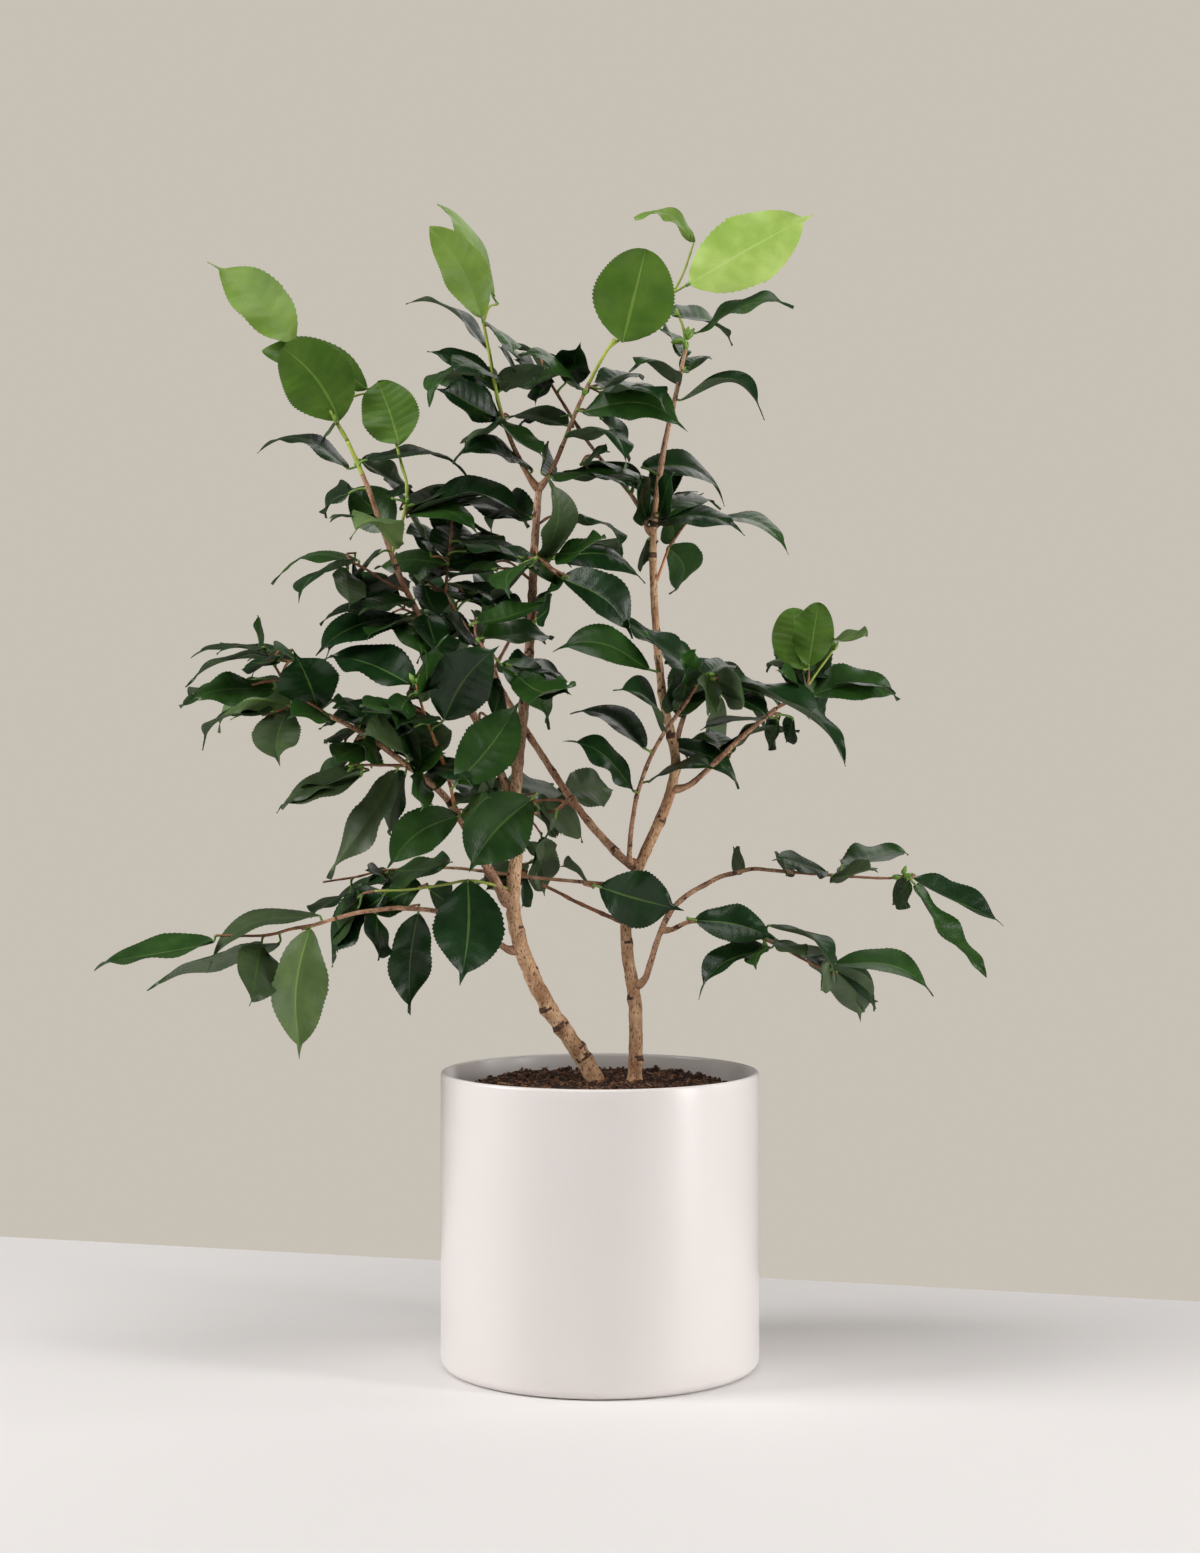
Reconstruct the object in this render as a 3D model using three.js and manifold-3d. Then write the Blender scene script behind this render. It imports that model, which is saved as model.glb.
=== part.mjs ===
// A young camellia with two stems, in a plain round pot.
// Millimetres, +Z up. The origin is at the centre of the pot's flat underside, and the plant faces -Y.

import * as THREE from 'three';
import Module from 'manifold-3d';

const wasm = await Module();
wasm.setup();

// Driving sizes
const POT_RADIUS = 125;
const POT_HEIGHT = 230;
const POT_WALL = 4.5;
const POT_FLOOR = 9;
const FOOT_ROUND = 7;          // radius of the edge round the underside
const RIM_ROUND = 2.2;         // radius of the lip
const ROUND_STEPS = 4;
const POT_FACES = 40;
const SOIL_LEVEL = 220;        // the flat crown of the potting mix, on which the stems stand
const SOIL_EDGE_DROP = 12;     // how far the mix has sunk along the wall
const SOIL_CROWN_RADIUS = 85;
const GAP = 0.35;              // clearance between neighbouring solids
const STEM_SIDES = 8;
const BOUGH_SIDES = 6;
const STEPS_PER_SPAN = 2;      // rings between two points of a limb's route
const MASS_RINGS = 5;
const MASS_SIDES = 8;
const MASS_UNEVEN = 0.2;       // how much a foliage mass's radius wanders, as a share

// ---------------------------------------------------------------- solids

// A closed solid from rings of points, with a point at each end that closes it.
function solidFromRings(startPole, rings, endPole) {
  const sides = rings[0].length;
  const points = [startPole, ...rings.flat(), endPole];
  const last = points.length - 1;
  const triangles = [];
  for (let side = 0; side < sides; side += 1) {
    const next = (side + 1) % sides;
    triangles.push(0, 1 + next, 1 + side);
    for (let ring = 0; ring + 1 < rings.length; ring += 1) {
      const low = 1 + ring * sides;
      const high = low + sides;
      triangles.push(low + side, low + next, high + next);
      triangles.push(low + side, high + next, high + side);
    }
    const top = last - sides;
    triangles.push(top + side, top + next, last);
  }
  return new wasm.Manifold(new wasm.Mesh({
    numProp: 3,
    vertProperties: new Float32Array(points.flatMap((p) => [p.x, p.y, p.z])),
    triVerts: new Uint32Array(triangles),
  }));
}

// Two directions across a route at each of its stations, carried along it without twist.
function framesAlong(curve, stations, firstAcross) {
  const frames = [];
  let across = firstAcross.clone();
  for (const t of stations) {
    const along = curve.getTangent(t);
    across.addScaledVector(along, -across.dot(along)).normalize();
    const other = along.clone().cross(across);
    frames.push({ centre: curve.getPoint(t), across: across.clone(), other });
  }
  return frames;
}

function around(sides) {
  return Array.from({ length: sides }, (_, side) => (2 * Math.PI * side) / sides);
}

function ringPoint(frame, angle, wide, tall) {
  return frame.centre.clone()
    .addScaledVector(frame.across, Math.cos(angle) * wide)
    .addScaledVector(frame.other, Math.sin(angle) * tall);
}

// A tapering limb along a route of [x, y, z, radius], grown all round by `grow`.
function limbSolid(route, sides, grow) {
  const curve = new THREE.CatmullRomCurve3(route.map(([x, y, z]) => new THREE.Vector3(x, y, z)));
  const count = (route.length - 1) * STEPS_PER_SPAN;
  const stations = Array.from({ length: count + 1 }, (_, i) => i / count);
  const frames = framesAlong(curve, stations, new THREE.Vector3(1, 0.2, 0));
  const rings = frames.map((frame, i) => {
    const at = i / STEPS_PER_SPAN;
    const span = Math.min(Math.floor(at), route.length - 2);
    const radius = THREE.MathUtils.lerp(route[span][3], route[span + 1][3], at - span) + grow;
    return around(sides).map((angle) => ringPoint(frame, angle, radius, radius));
  });
  return solidFromRings(frames[0].centre, rings, frames[count].centre);
}

// The same run of numbers between 0 and 1 every time, for one seed.
function seeded(seed) {
  let state = seed * 7919 + 17;
  return () => {
    state = (state * 1103515245 + 12345) % 2147483648;
    return state / 2147483648;
  };
}

// An uneven mass of leaves along a route: `wide` across it, `tall` through it, and a point at both ends.
function massSolid({ route, wide, tall, seed }, grow) {
  const curve = new THREE.CatmullRomCurve3(route.map((p) => new THREE.Vector3(...p)));
  const stations = Array.from({ length: MASS_RINGS }, (_, i) => (i + 1) / (MASS_RINGS + 1));
  const upright = Math.abs(curve.getTangent(0.5).z) > 0.8;
  const firstAcross = curve.getTangent(0.5).cross(new THREE.Vector3(0, upright ? 1 : 0, upright ? 0 : 1));
  const random = seeded(seed);
  const rings = framesAlong(curve, stations, firstAcross).map((frame, i) => {
    const fullness = Math.sin(Math.PI * stations[i] ** 0.85) ** 0.6;
    return around(MASS_SIDES).map((angle) => {
      const size = fullness * (1 - MASS_UNEVEN * random());
      return ringPoint(frame, angle, (wide / 2) * size + grow, (tall / 2) * size + grow);
    });
  });
  const start = curve.getPoint(0).addScaledVector(curve.getTangent(0), -grow);
  const end = curve.getPoint(1).addScaledVector(curve.getTangent(1), grow);
  return solidFromRings(start, rings, end);
}

function largestBody(solid) {
  return solid.decompose().reduce((best, body) => (body.volume() > best.volume() ? body : best));
}

function cutBy(solid, cutters) {
  return cutters.reduce((rest, cutter) => rest.subtract(cutter), solid);
}

// ---------------------------------------------------------------- pot and potting mix

function quarterRound(centreX, centreY, radius, fromAngle, toAngle) {
  return Array.from({ length: ROUND_STEPS + 1 }, (_, i) => {
    const angle = THREE.MathUtils.lerp(fromAngle, toAngle, i / ROUND_STEPS);
    return new THREE.Vector2(centreX + radius * Math.cos(angle), centreY + radius * Math.sin(angle));
  });
}

function potGeometry() {
  const inner = POT_RADIUS - POT_WALL;
  return new THREE.LatheGeometry([
    new THREE.Vector2(0, 0),
    ...quarterRound(POT_RADIUS - FOOT_ROUND, FOOT_ROUND, FOOT_ROUND, -Math.PI / 2, 0),
    ...quarterRound(POT_RADIUS - RIM_ROUND, POT_HEIGHT - RIM_ROUND, RIM_ROUND, 0, Math.PI / 2),
    new THREE.Vector2(inner, POT_HEIGHT - RIM_ROUND),
    new THREE.Vector2(inner, POT_FLOOR),
    new THREE.Vector2(0, POT_FLOOR),
  ], POT_FACES);
}

function pottingMixGeometry() {
  const radius = (POT_RADIUS - POT_WALL) * Math.cos(Math.PI / POT_FACES) - GAP;
  const edge = SOIL_LEVEL - SOIL_EDGE_DROP;
  return new THREE.LatheGeometry([
    new THREE.Vector2(0, POT_FLOOR + GAP),
    new THREE.Vector2(radius, POT_FLOOR + GAP),
    new THREE.Vector2(radius, edge),
    new THREE.Vector2((radius + SOIL_CROWN_RADIUS) / 2, SOIL_LEVEL - SOIL_EDGE_DROP * 0.3),
    new THREE.Vector2(SOIL_CROWN_RADIUS, SOIL_LEVEL),
    new THREE.Vector2(0, SOIL_LEVEL),
  ], POT_FACES);
}

// ---------------------------------------------------------------- stems and boughs

// Each route runs from the foot to the tip, as [x, y, z, radius]. A stem's starts below the ground and is
// cut flat there. A bough follows its parent in the list, starts inside it and is cut back to its surface,
// and ends at the surface of the masses it is `into`.
const FOOT = SOIL_LEVEL + GAP;
const STEMS = [
  { name: 'stem_left', route: [
    [4, 0, FOOT - 8, 12], [-1, 0, FOOT, 9.5], [-5, 0, FOOT + 7, 7], [-27, -3, 260, 6.4],
    [-51, -8, 300, 6.3], [-68, -12, 352, 5.8], [-65, -12, 405, 5], [-66, -10, 450, 4.6],
    [-60, -8, 510, 4.1], [-54, -4, 580, 3.7], [-52, 0, 635, 3.3], [-48, 0, 690, 2.8],
  ] },
  { name: 'stem_right', route: [
    [27, 0, FOOT - 8, 10], [27, 0, FOOT, 8], [27.5, 0, FOOT + 8, 5.8], [28, 2, 282, 5.2],
    [22, 4, 318, 4.6], [21, 5, 360, 4.3], [36, 6, 402, 4.2], [53, 8, 440, 4.1], [60, 8, 474, 3.8],
    [50, 6, 520, 3.3], [43, 3, 595, 3], [42, 0, 655, 2.8], [50, -3, 718, 2.3], [59, -5, 758, 1.9],
    [68, -8, 800, 1.5],
  ] },
];
const BOUGHS = [
  { name: 'bough_left_mid', into: ['leaves_left_middle_tip'], route: [
    [-68, -12, 356, 4], [-90, -22, 394, 3.3], [-116, -38, 442, 2.8], [-148, -52, 470, 2.4],
    [-196, -64, 503, 1.9], [-238, -70, 517, 1.5],
  ] },
  { name: 'bough_left_upper', into: ['new_leaves_left'], route: [
    [-66, -10, 436, 3.6], [-96, 0, 503, 3.1], [-124, 8, 552, 2.8], [-158, 14, 618, 2.4],
    [-184, 18, 690, 2], [-206, 20, 740, 1.6],
  ] },
  { name: 'bough_back_cross', into: ['leaves_upper_left_arch'], route: [
    [24, 5, 390, 3.6], [-6, 18, 421, 3.2], [-36, 32, 462, 2.9], [-78, 46, 528, 2.5], [-106, 54, 576, 2.2],
    [-128, 58, 612, 1.9],
  ] },
  { name: 'bough_left_low', into: ['leaves_low_left_far', 'leaves_low_left_hanging'], route: [
    [-60, -10, 316, 2.5], [-84, -16, 335, 2.1], [-128, -26, 357, 1.9], [-188, -36, 356, 1.6],
    [-258, -42, 333, 1.3],
  ] },
  { name: 'bough_cross_low', into: ['leaves_low_middle_hanging'], route: [
    [23, 6, 374, 2], [-2, 24, 376, 1.6], [-64, 40, 381, 1.4], [-112, 48, 387, 1.3], [-158, 52, 388, 1.2],
  ] },
  { name: 'bough_right_low', into: ['leaves_right_low_end'], route: [
    [28, 2, 284, 2.8], [39, -2, 312, 2.4], [52, -2, 350, 2.1], [75, 4, 372, 1.9], [120, 12, 388, 1.6],
    [170, 18, 382, 1.4], [215, 22, 382, 1.2],
  ] },
  { name: 'bough_right_low_side', into: ['leaves_right_lower_far'], route: [
    [47, -2, 334, 1.9], [72, -18, 349, 1.6], [104, -34, 343, 1.4], [138, -46, 331, 1.2], [170, -54, 312, 1],
  ] },
  { name: 'bough_right_spray', into: ['leaves_right_spray'], route: [
    [55, 8, 444, 2.6], [80, 2, 462, 2.2], [113, -6, 494, 1.9], [150, -14, 524, 1.5],
  ] },
  { name: 'bough_centre_front', into: ['leaves_centre_diagonal'], route: [
    [24, 5, 384, 2.4], [23, -6, 402, 2], [29, -22, 448, 1.8], [45, -36, 488, 1.6], [62, -46, 512, 1.4],
    [76, -52, 534, 1.2],
  ] },
  { name: 'bough_top_cross', into: ['leaves_top_centre'], route: [
    [42, 0, 640, 2], [30, 6, 676, 1.7], [6, 16, 706, 1.5], [-14, 24, 733, 1.3], [-38, 30, 768, 1],
  ] },
  { name: 'shoot_top_left', into: ['new_leaves_top_left'], route: [
    [-48, 0, 684, 2.2], [-66, -4, 715, 1.9], [-80, -8, 755, 1.6], [-86, -10, 790, 1.4], [-93, -12, 824, 1.1],
  ] },
  { name: 'shoot_top_middle', into: ['new_leaf_round'], route: [
    [-48, 0, 684, 2.2], [-33, -8, 711, 1.9], [-18, -14, 748, 1.6], [0, -18, 784, 1.3], [16, -20, 808, 1.1],
  ] },
  { name: 'bough_back_left', into: ['leaves_back_left'], route: [
    [-65, -10, 462, 2.6], [-74, 44, 505, 2.2], [-88, 104, 552, 1.8], [-104, 150, 580, 1.4],
  ] },
  { name: 'bough_back_right', into: ['leaves_back_right'], route: [
    [58, 8, 480, 2.4], [66, 50, 505, 2], [76, 104, 528, 1.6], [84, 146, 538, 1.3],
  ] },
];

// ---------------------------------------------------------------- masses of foliage

// Each mass runs from where it is carried to its furthest leaf tip. A mass is cut by those before it.
const MASSES = [
  { name: 'new_leaves_left', colour: 'new', wide: 34, tall: 78, route: [
    [-152, 16, 738], [-228, 20, 782], [-311, 12, 867]] },
  { name: 'new_leaves_top_left', colour: 'new', wide: 46, tall: 26, route: [
    [-92, -12, 820], [-112, -14, 862], [-128, -8, 915]] },
  { name: 'new_leaf_round', colour: 'new', wide: 64, tall: 22, route: [
    [16, -21, 802], [24, -24, 840], [30, -24, 879]] },
  { name: 'new_leaf_top_right', colour: 'new', wide: 24, tall: 62, route: [
    [62, -22, 836], [116, -26, 876], [170, -30, 907]] },
  { name: 'new_leaf_top_middle', colour: 'new', wide: 20, tall: 26, route: [
    [76, 24, 876], [52, 24, 902], [26, 22, 902]] },
  { name: 'leaves_top_right', wide: 74, tall: 50, route: [
    [40, -10, 812], [92, -8, 812], [153, -2, 838]] },
  { name: 'leaves_right_of_top', wide: 70, tall: 40, route: [
    [26, 0, 782], [80, 6, 776], [128, 10, 746]] },
  { name: 'leaves_left_of_top', wide: 72, tall: 64, route: [
    [-66, -14, 712], [-112, -22, 764], [-152, -30, 838]] },
  { name: 'leaves_top_centre', wide: 84, tall: 120, route: [
    [-52, 24, 694], [-46, 38, 745], [-20, 44, 806]] },
  { name: 'leaves_centre_of_top', wide: 96, tall: 56, route: [
    [-34, -36, 742], [16, -40, 748], [72, -38, 728]] },
  { name: 'leaves_upper_left', wide: 90, tall: 44, route: [
    [-104, 20, 704], [-190, 20, 716], [-272, 4, 724]] },
  { name: 'leaves_right_upper', wide: 96, tall: 62, route: [
    [24, 8, 708], [88, 4, 680], [149, -8, 638]] },
  { name: 'leaves_right_hanging', wide: 36, tall: 26, route: [
    [54, 14, 664], [62, 18, 634], [64, 18, 602]] },
  { name: 'leaves_outer_left', wide: 110, tall: 72, route: [
    [-154, 24, 652], [-206, 16, 636], [-260, 4, 606]] },
  { name: 'leaves_upper_left_arch', wide: 124, tall: 86, route: [
    [-156, 44, 648], [-108, 26, 662], [-56, 20, 646]] },
  { name: 'leaves_left_shelf', wide: 120, tall: 62, route: [
    [-108, -14, 596], [-168, -24, 588], [-228, -30, 558]] },
  { name: 'leaves_left_shelf_low', wide: 88, tall: 54, route: [
    [-112, -34, 530], [-168, -44, 546], [-222, -50, 556]] },
  { name: 'leaves_front_left', wide: 118, tall: 104, route: [
    [-60, -34, 568], [-76, -100, 572], [-92, -186, 556]] },
  { name: 'leaves_centre_upper', wide: 76, tall: 66, route: [
    [-42, -10, 640], [-10, -26, 682], [44, -30, 690]] },
  { name: 'leaves_front_centre', wide: 84, tall: 70, route: [
    [-38, -34, 622], [-6, -92, 606], [22, -158, 578]] },
  { name: 'leaves_centre_diagonal', wide: 44, tall: 48, route: [
    [10, -44, 596], [88, -56, 536], [190, -42, 474]] },
  { name: 'leaves_right_inner', wide: 70, tall: 64, route: [
    [42, 24, 470], [84, 32, 496], [124, 34, 508]] },
  { name: 'leaves_centre_left', wide: 56, tall: 60, route: [
    [42, -34, 494], [8, -40, 506], [-30, -40, 500]] },
  { name: 'leaves_right_spray', wide: 84, tall: 84, route: [
    [128, -14, 524], [178, -18, 544], [237, -22, 524]] },
  { name: 'leaves_right_low_end', wide: 84, tall: 40, route: [
    [140, 24, 388], [222, 26, 392], [320, 14, 346]] },
  { name: 'leaves_right_low_hanging', wide: 26, tall: 36, route: [
    [246, -2, 372], [284, -8, 352], [310, -12, 306]] },
  { name: 'leaves_right_lower_near', wide: 60, tall: 56, route: [
    [136, -60, 340], [104, -64, 326], [74, -60, 288]] },
  { name: 'leaves_right_lower_far', wide: 84, tall: 48, route: [
    [148, -62, 328], [196, -74, 300], [258, -82, 292]] },
  { name: 'leaf_centre_single', wide: 42, tall: 22, route: [
    [2, -24, 378], [34, -32, 370], [67, -36, 362]] },
  { name: 'leaves_front_low', wide: 66, tall: 52, route: [
    [-62, -46, 446], [-94, -84, 420], [-106, -112, 386]] },
  { name: 'leaf_front_middle', wide: 40, tall: 52, route: [
    [-110, -84, 454], [-92, -96, 488], [-64, -102, 522]] },
  { name: 'leaves_left_middle_tip', wide: 118, tall: 92, route: [
    [-206, -68, 518], [-262, -76, 522], [-316, -84, 528]] },
  { name: 'leaves_left_inner', wide: 90, tall: 58, route: [
    [-120, -58, 494], [-164, -60, 500], [-216, -60, 478]] },
  { name: 'leaves_left_hanging', wide: 60, tall: 34, route: [
    [-150, -54, 460], [-184, -60, 424], [-204, -64, 380]] },
  { name: 'leaves_low_left_far', wide: 90, tall: 40, route: [
    [-222, -44, 350], [-308, -52, 330], [-392, -62, 316]] },
  { name: 'leaves_low_left_hanging', wide: 48, tall: 36, route: [
    [-228, -36, 338], [-238, -32, 290], [-234, -34, 238]] },
  { name: 'leaves_low_middle_hanging', wide: 96, tall: 52, route: [
    [-132, 40, 400], [-168, 36, 352], [-158, 24, 274]] },
  { name: 'leaf_low_near', wide: 56, tall: 34, route: [
    [-100, -38, 378], [-106, -42, 342], [-106, -44, 297]] },
  { name: 'leaves_back_left', wide: 150, tall: 110, route: [
    [-84, 84, 566], [-112, 160, 596], [-120, 238, 590]] },
  { name: 'leaves_back_right', wide: 84, tall: 60, route: [
    [78, 84, 526], [90, 150, 538], [92, 222, 530]] },
  { name: 'leaves_back_low', wide: 90, tall: 66, route: [
    [-40, 52, 424], [-62, 112, 440], [-96, 196, 414]] },
];

// ---------------------------------------------------------------- finishes and assembly

const FINISHES = {
  pot: new THREE.MeshStandardMaterial({ color: 0xe4deda, roughness: 0.45 }),
  mix: new THREE.MeshStandardMaterial({ color: 0x2c1f18, roughness: 1 }),
  bark: new THREE.MeshStandardMaterial({ color: 0x9a7350, roughness: 0.85 }),
  mature: new THREE.MeshStandardMaterial({ color: 0x26502f, roughness: 0.4 }),
  new: new THREE.MeshStandardMaterial({ color: 0x5f9a40, roughness: 0.4 }),
};

const plant = new THREE.Group();

function addMesh(name, geometry, finish) {
  const mesh = new THREE.Mesh(geometry, finish.clone());
  mesh.name = name;
  plant.add(mesh);
  return mesh;
}

function addSolid(name, solid, finish) {
  const { vertProperties, triVerts } = solid.getMesh();
  const geometry = new THREE.BufferGeometry();
  geometry.setAttribute('position', new THREE.BufferAttribute(vertProperties, 3));
  geometry.setIndex(new THREE.BufferAttribute(triVerts, 1));
  geometry.computeVertexNormals();
  addMesh(name, geometry, finish);
}

// Lathe geometry turns about Y, so it is stood up.
for (const [name, geometry, finish] of [
  ['pot', potGeometry(), FINISHES.pot],
  ['potting_mix', pottingMixGeometry(), FINISHES.mix],
]) {
  addMesh(name, geometry, finish).rotation.x = Math.PI / 2;
}

const masses = MASSES.map((mass, i) => {
  const numbered = { ...mass, seed: i + 1 };
  return { ...mass, solid: massSolid(numbered, 0), grown: massSolid(numbered, GAP) };
});
const massNamed = new Map(masses.map((mass) => [mass.name, mass]));

const limbs = [];
for (const { name, route, into = [] } of [...STEMS, ...BOUGHS]) {
  const sides = name.startsWith('stem') ? STEM_SIDES : BOUGH_SIDES;
  const ends = into.map((massName) => massNamed.get(massName));
  const cutters = [...limbs.map((limb) => limb.grown), ...ends.map((mass) => mass.grown)];
  const solid = largestBody(cutBy(limbSolid(route, sides, 0), cutters).trimByPlane([0, 0, 1], FOOT));
  const grown = largestBody(cutBy(limbSolid(route, sides, GAP), ends.map((mass) => mass.solid)));
  limbs.push({ solid, grown });
  addSolid(name, solid, FINISHES.bark);
}

masses.forEach(({ name, solid, colour = 'mature' }, i) => {
  const cutters = [...limbs, ...masses.slice(0, i)].map((neighbour) => neighbour.grown);
  addSolid(name, largestBody(cutBy(solid, cutters)), FINISHES[colour]);
});

export default plant;
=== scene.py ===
import heapq
import math

import bpy
import numpy as np
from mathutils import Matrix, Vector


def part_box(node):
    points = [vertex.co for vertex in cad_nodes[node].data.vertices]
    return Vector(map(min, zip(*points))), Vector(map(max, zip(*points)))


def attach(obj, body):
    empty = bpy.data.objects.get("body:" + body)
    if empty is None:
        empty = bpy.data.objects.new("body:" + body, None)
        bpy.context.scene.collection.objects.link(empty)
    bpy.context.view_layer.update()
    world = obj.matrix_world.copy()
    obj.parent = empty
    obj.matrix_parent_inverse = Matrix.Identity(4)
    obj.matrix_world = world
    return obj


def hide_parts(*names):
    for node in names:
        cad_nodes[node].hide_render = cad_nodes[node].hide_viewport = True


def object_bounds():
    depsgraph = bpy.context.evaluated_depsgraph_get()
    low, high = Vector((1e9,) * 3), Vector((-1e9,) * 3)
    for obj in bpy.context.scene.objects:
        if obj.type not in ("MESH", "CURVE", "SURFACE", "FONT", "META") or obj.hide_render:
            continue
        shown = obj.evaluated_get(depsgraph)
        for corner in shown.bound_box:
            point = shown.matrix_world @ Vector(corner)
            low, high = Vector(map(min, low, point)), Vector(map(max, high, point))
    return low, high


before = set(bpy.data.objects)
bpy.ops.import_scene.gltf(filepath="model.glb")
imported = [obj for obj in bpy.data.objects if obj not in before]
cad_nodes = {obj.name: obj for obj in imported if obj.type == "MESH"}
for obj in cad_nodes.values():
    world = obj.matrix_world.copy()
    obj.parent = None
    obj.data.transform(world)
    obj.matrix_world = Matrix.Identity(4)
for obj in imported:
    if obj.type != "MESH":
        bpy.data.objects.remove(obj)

cad_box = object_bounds()

# ---------------------------------------------------------------- the pot
# A slip-cast planter: one straight round wall with a softly rounded foot and a thin lip, fired with
# a warm white satin glaze. It stands on its flat underside and holds the plant loose in its mix.

POT_TURNS = 192
POT_WALL = 0.0045
POT_LIP_ROUND = 0.0022
POT_FOOT_ROUND = 0.007
POT_FLOOR = 0.009
POT_CORNER = 0.008          # the round between its inner wall and its floor
PIN_HOLE = 0.0004           # radius of the small flat that closes a turned shape at its middle


def as_quads(rings, around):
    """Faces between rings of points: `rings` rows of `around` points each, closed the round way."""
    low = np.arange((rings - 1) * around).reshape(rings - 1, around)
    side = np.roll(low, -1, axis=1)
    return np.stack([low, side, side + around, low + around], axis=2).reshape(-1, 4)


def closed_rings(rings, around):
    """The faces between rings of points, with both ends closed by a fan."""
    last = (rings - 1) * around
    steps = range(1, around - 2, 2)
    return np.concatenate([
        as_quads(rings, around),
        [[0, i + 2, i + 1, i] for i in steps],
        [[last, last + i, last + i + 1, last + i + 2] for i in steps],
    ])


def turned_over(faces):
    """The same faces, looking the other way."""
    return faces[:, [0, 3, 2, 1]]


class Joined:
    """Many closed pieces of one kind, joined into one mesh as they are made."""

    def __init__(self):
        self.points, self.faces, self.finish, self.rims, self.count = [], [], [], [], 0

    def add(self, points, faces, finish=0, rim=None):
        points = np.asarray(points, float)
        self.points.append(points)
        self.faces.append(np.asarray(faces) + self.count)
        self.finish.append(np.broadcast_to(np.asarray(finish), len(faces)))
        self.rims.append(np.zeros(len(points), bool) if rim is None else rim)
        self.count += len(points)

    def piece(self, name, materials, slot, replaces=()):
        """The Blender object, riding on the plant, with crisp edges between points marked as rim."""
        points, faces = np.concatenate(self.points), np.concatenate(self.faces)
        mesh = bpy.data.meshes.new(name)
        mesh.vertices.add(len(points))
        mesh.vertices.foreach_set("co", points.ravel())
        mesh.loops.add(faces.size)
        mesh.loops.foreach_set("vertex_index", faces.ravel())
        mesh.polygons.add(len(faces))
        mesh.polygons.foreach_set("loop_start", np.arange(0, faces.size, 4))
        mesh.polygons.foreach_set("material_index", np.concatenate(self.finish))
        mesh.polygons.foreach_set("use_smooth", np.ones(len(faces), bool))
        mesh.update(calc_edges=True)
        edges = np.zeros(len(mesh.edges) * 2, int)
        mesh.edges.foreach_get("vertices", edges)
        crisp = np.concatenate(self.rims)[edges.reshape(-1, 2)].all(axis=1)
        mesh.edges.foreach_set("use_edge_sharp", crisp)
        for material in materials:
            mesh.materials.append(material)
        piece = bpy.data.objects.new(name, mesh)
        bpy.context.scene.collection.objects.link(piece)
        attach(piece, "root")
        if replaces:
            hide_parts(*replaces)


TONES_BETWEEN = (0.35, 0.65)        # where in the drift a finish turns from its dark to its light tone
HOLLOWS_BETWEEN = (0.46, 0.36)      # where in the grain a speckle begins, and where it is full


def finish_of(name, light, dark, patch, roughness, relief, grain, roughness_spread=0.06,
              stretch=(1, 1, 1), speckle=None):
    """A material whose colour drifts between two tones over `patch` metres, with a fine relief of
    `relief` metres at a grain of `grain` metres. The hollows of the grain may hold a speckle colour."""
    material = bpy.data.materials.new(name)
    material.use_nodes = True
    nodes, links = material.node_tree.nodes, material.node_tree.links
    shader = nodes["Principled BSDF"]

    def node(kind, settings, fed=None):
        made = nodes.new(kind)
        for socket, value in settings.items():
            made.inputs[socket].default_value = value
        for socket, source in (fed or {}).items():
            links.new(source, made.inputs[socket])
        return made

    where = nodes.new("ShaderNodeTexCoord")
    scaled = node("ShaderNodeMapping", {"Scale": stretch}, {"Vector": where.outputs["Object"]})
    place = {"Vector": scaled.outputs["Vector"]}
    drift = node("ShaderNodeTexNoise", {"Scale": 1 / patch, "Detail": 4}, place).outputs["Fac"]
    fine = node("ShaderNodeTexNoise", {"Scale": 1 / grain, "Detail": 3}, place).outputs["Fac"]
    tones = node("ShaderNodeValToRGB", {}, {"Fac": drift})
    for stop, position, tone in zip(tones.color_ramp.elements, TONES_BETWEEN, (dark, light)):
        stop.position = position
        stop.color = (*tone, 1)
    spread = node("ShaderNodeMapRange", {
        "To Min": roughness - roughness_spread, "To Max": roughness + roughness_spread}, {"Value": drift})
    links.new(spread.outputs["Result"], shader.inputs["Roughness"])
    colour = tones.outputs["Color"]
    if speckle:
        begins, full = HOLLOWS_BETWEEN
        hollow = node("ShaderNodeMapRange", {"From Min": begins, "From Max": full}, {"Value": fine})
        mixed = nodes.new("ShaderNodeMix")
        mixed.data_type = "RGBA"
        mixed.inputs["B"].default_value = (*speckle, 1)
        links.new(hollow.outputs["Result"], mixed.inputs["Factor"])
        links.new(colour, mixed.inputs["A"])
        colour = mixed.outputs["Result"]
    links.new(colour, shader.inputs["Base Color"])
    bump = node("ShaderNodeBump", {"Distance": relief}, {"Height": fine})
    links.new(bump.outputs["Normal"], shader.inputs["Normal"])
    return material


def turned(profile, turns):
    """Points of (radius, height) turned about Z, and the faces between them."""
    angles = np.arange(turns) * 2 * np.pi / turns
    x, y = np.cos(angles), np.sin(angles)
    rings = [np.stack([r * x, r * y, np.full(turns, z)], axis=1) for r, z in profile]
    return np.concatenate(rings), closed_rings(len(profile), turns)


def rounded(centre_r, centre_z, radius, start, end, steps=8):
    """A round stretch of a profile, from one angle to another in degrees."""
    angles = np.radians(np.linspace(start, end, steps))
    return [(centre_r + radius * np.cos(a), centre_z + radius * np.sin(a)) for a in angles]


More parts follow.
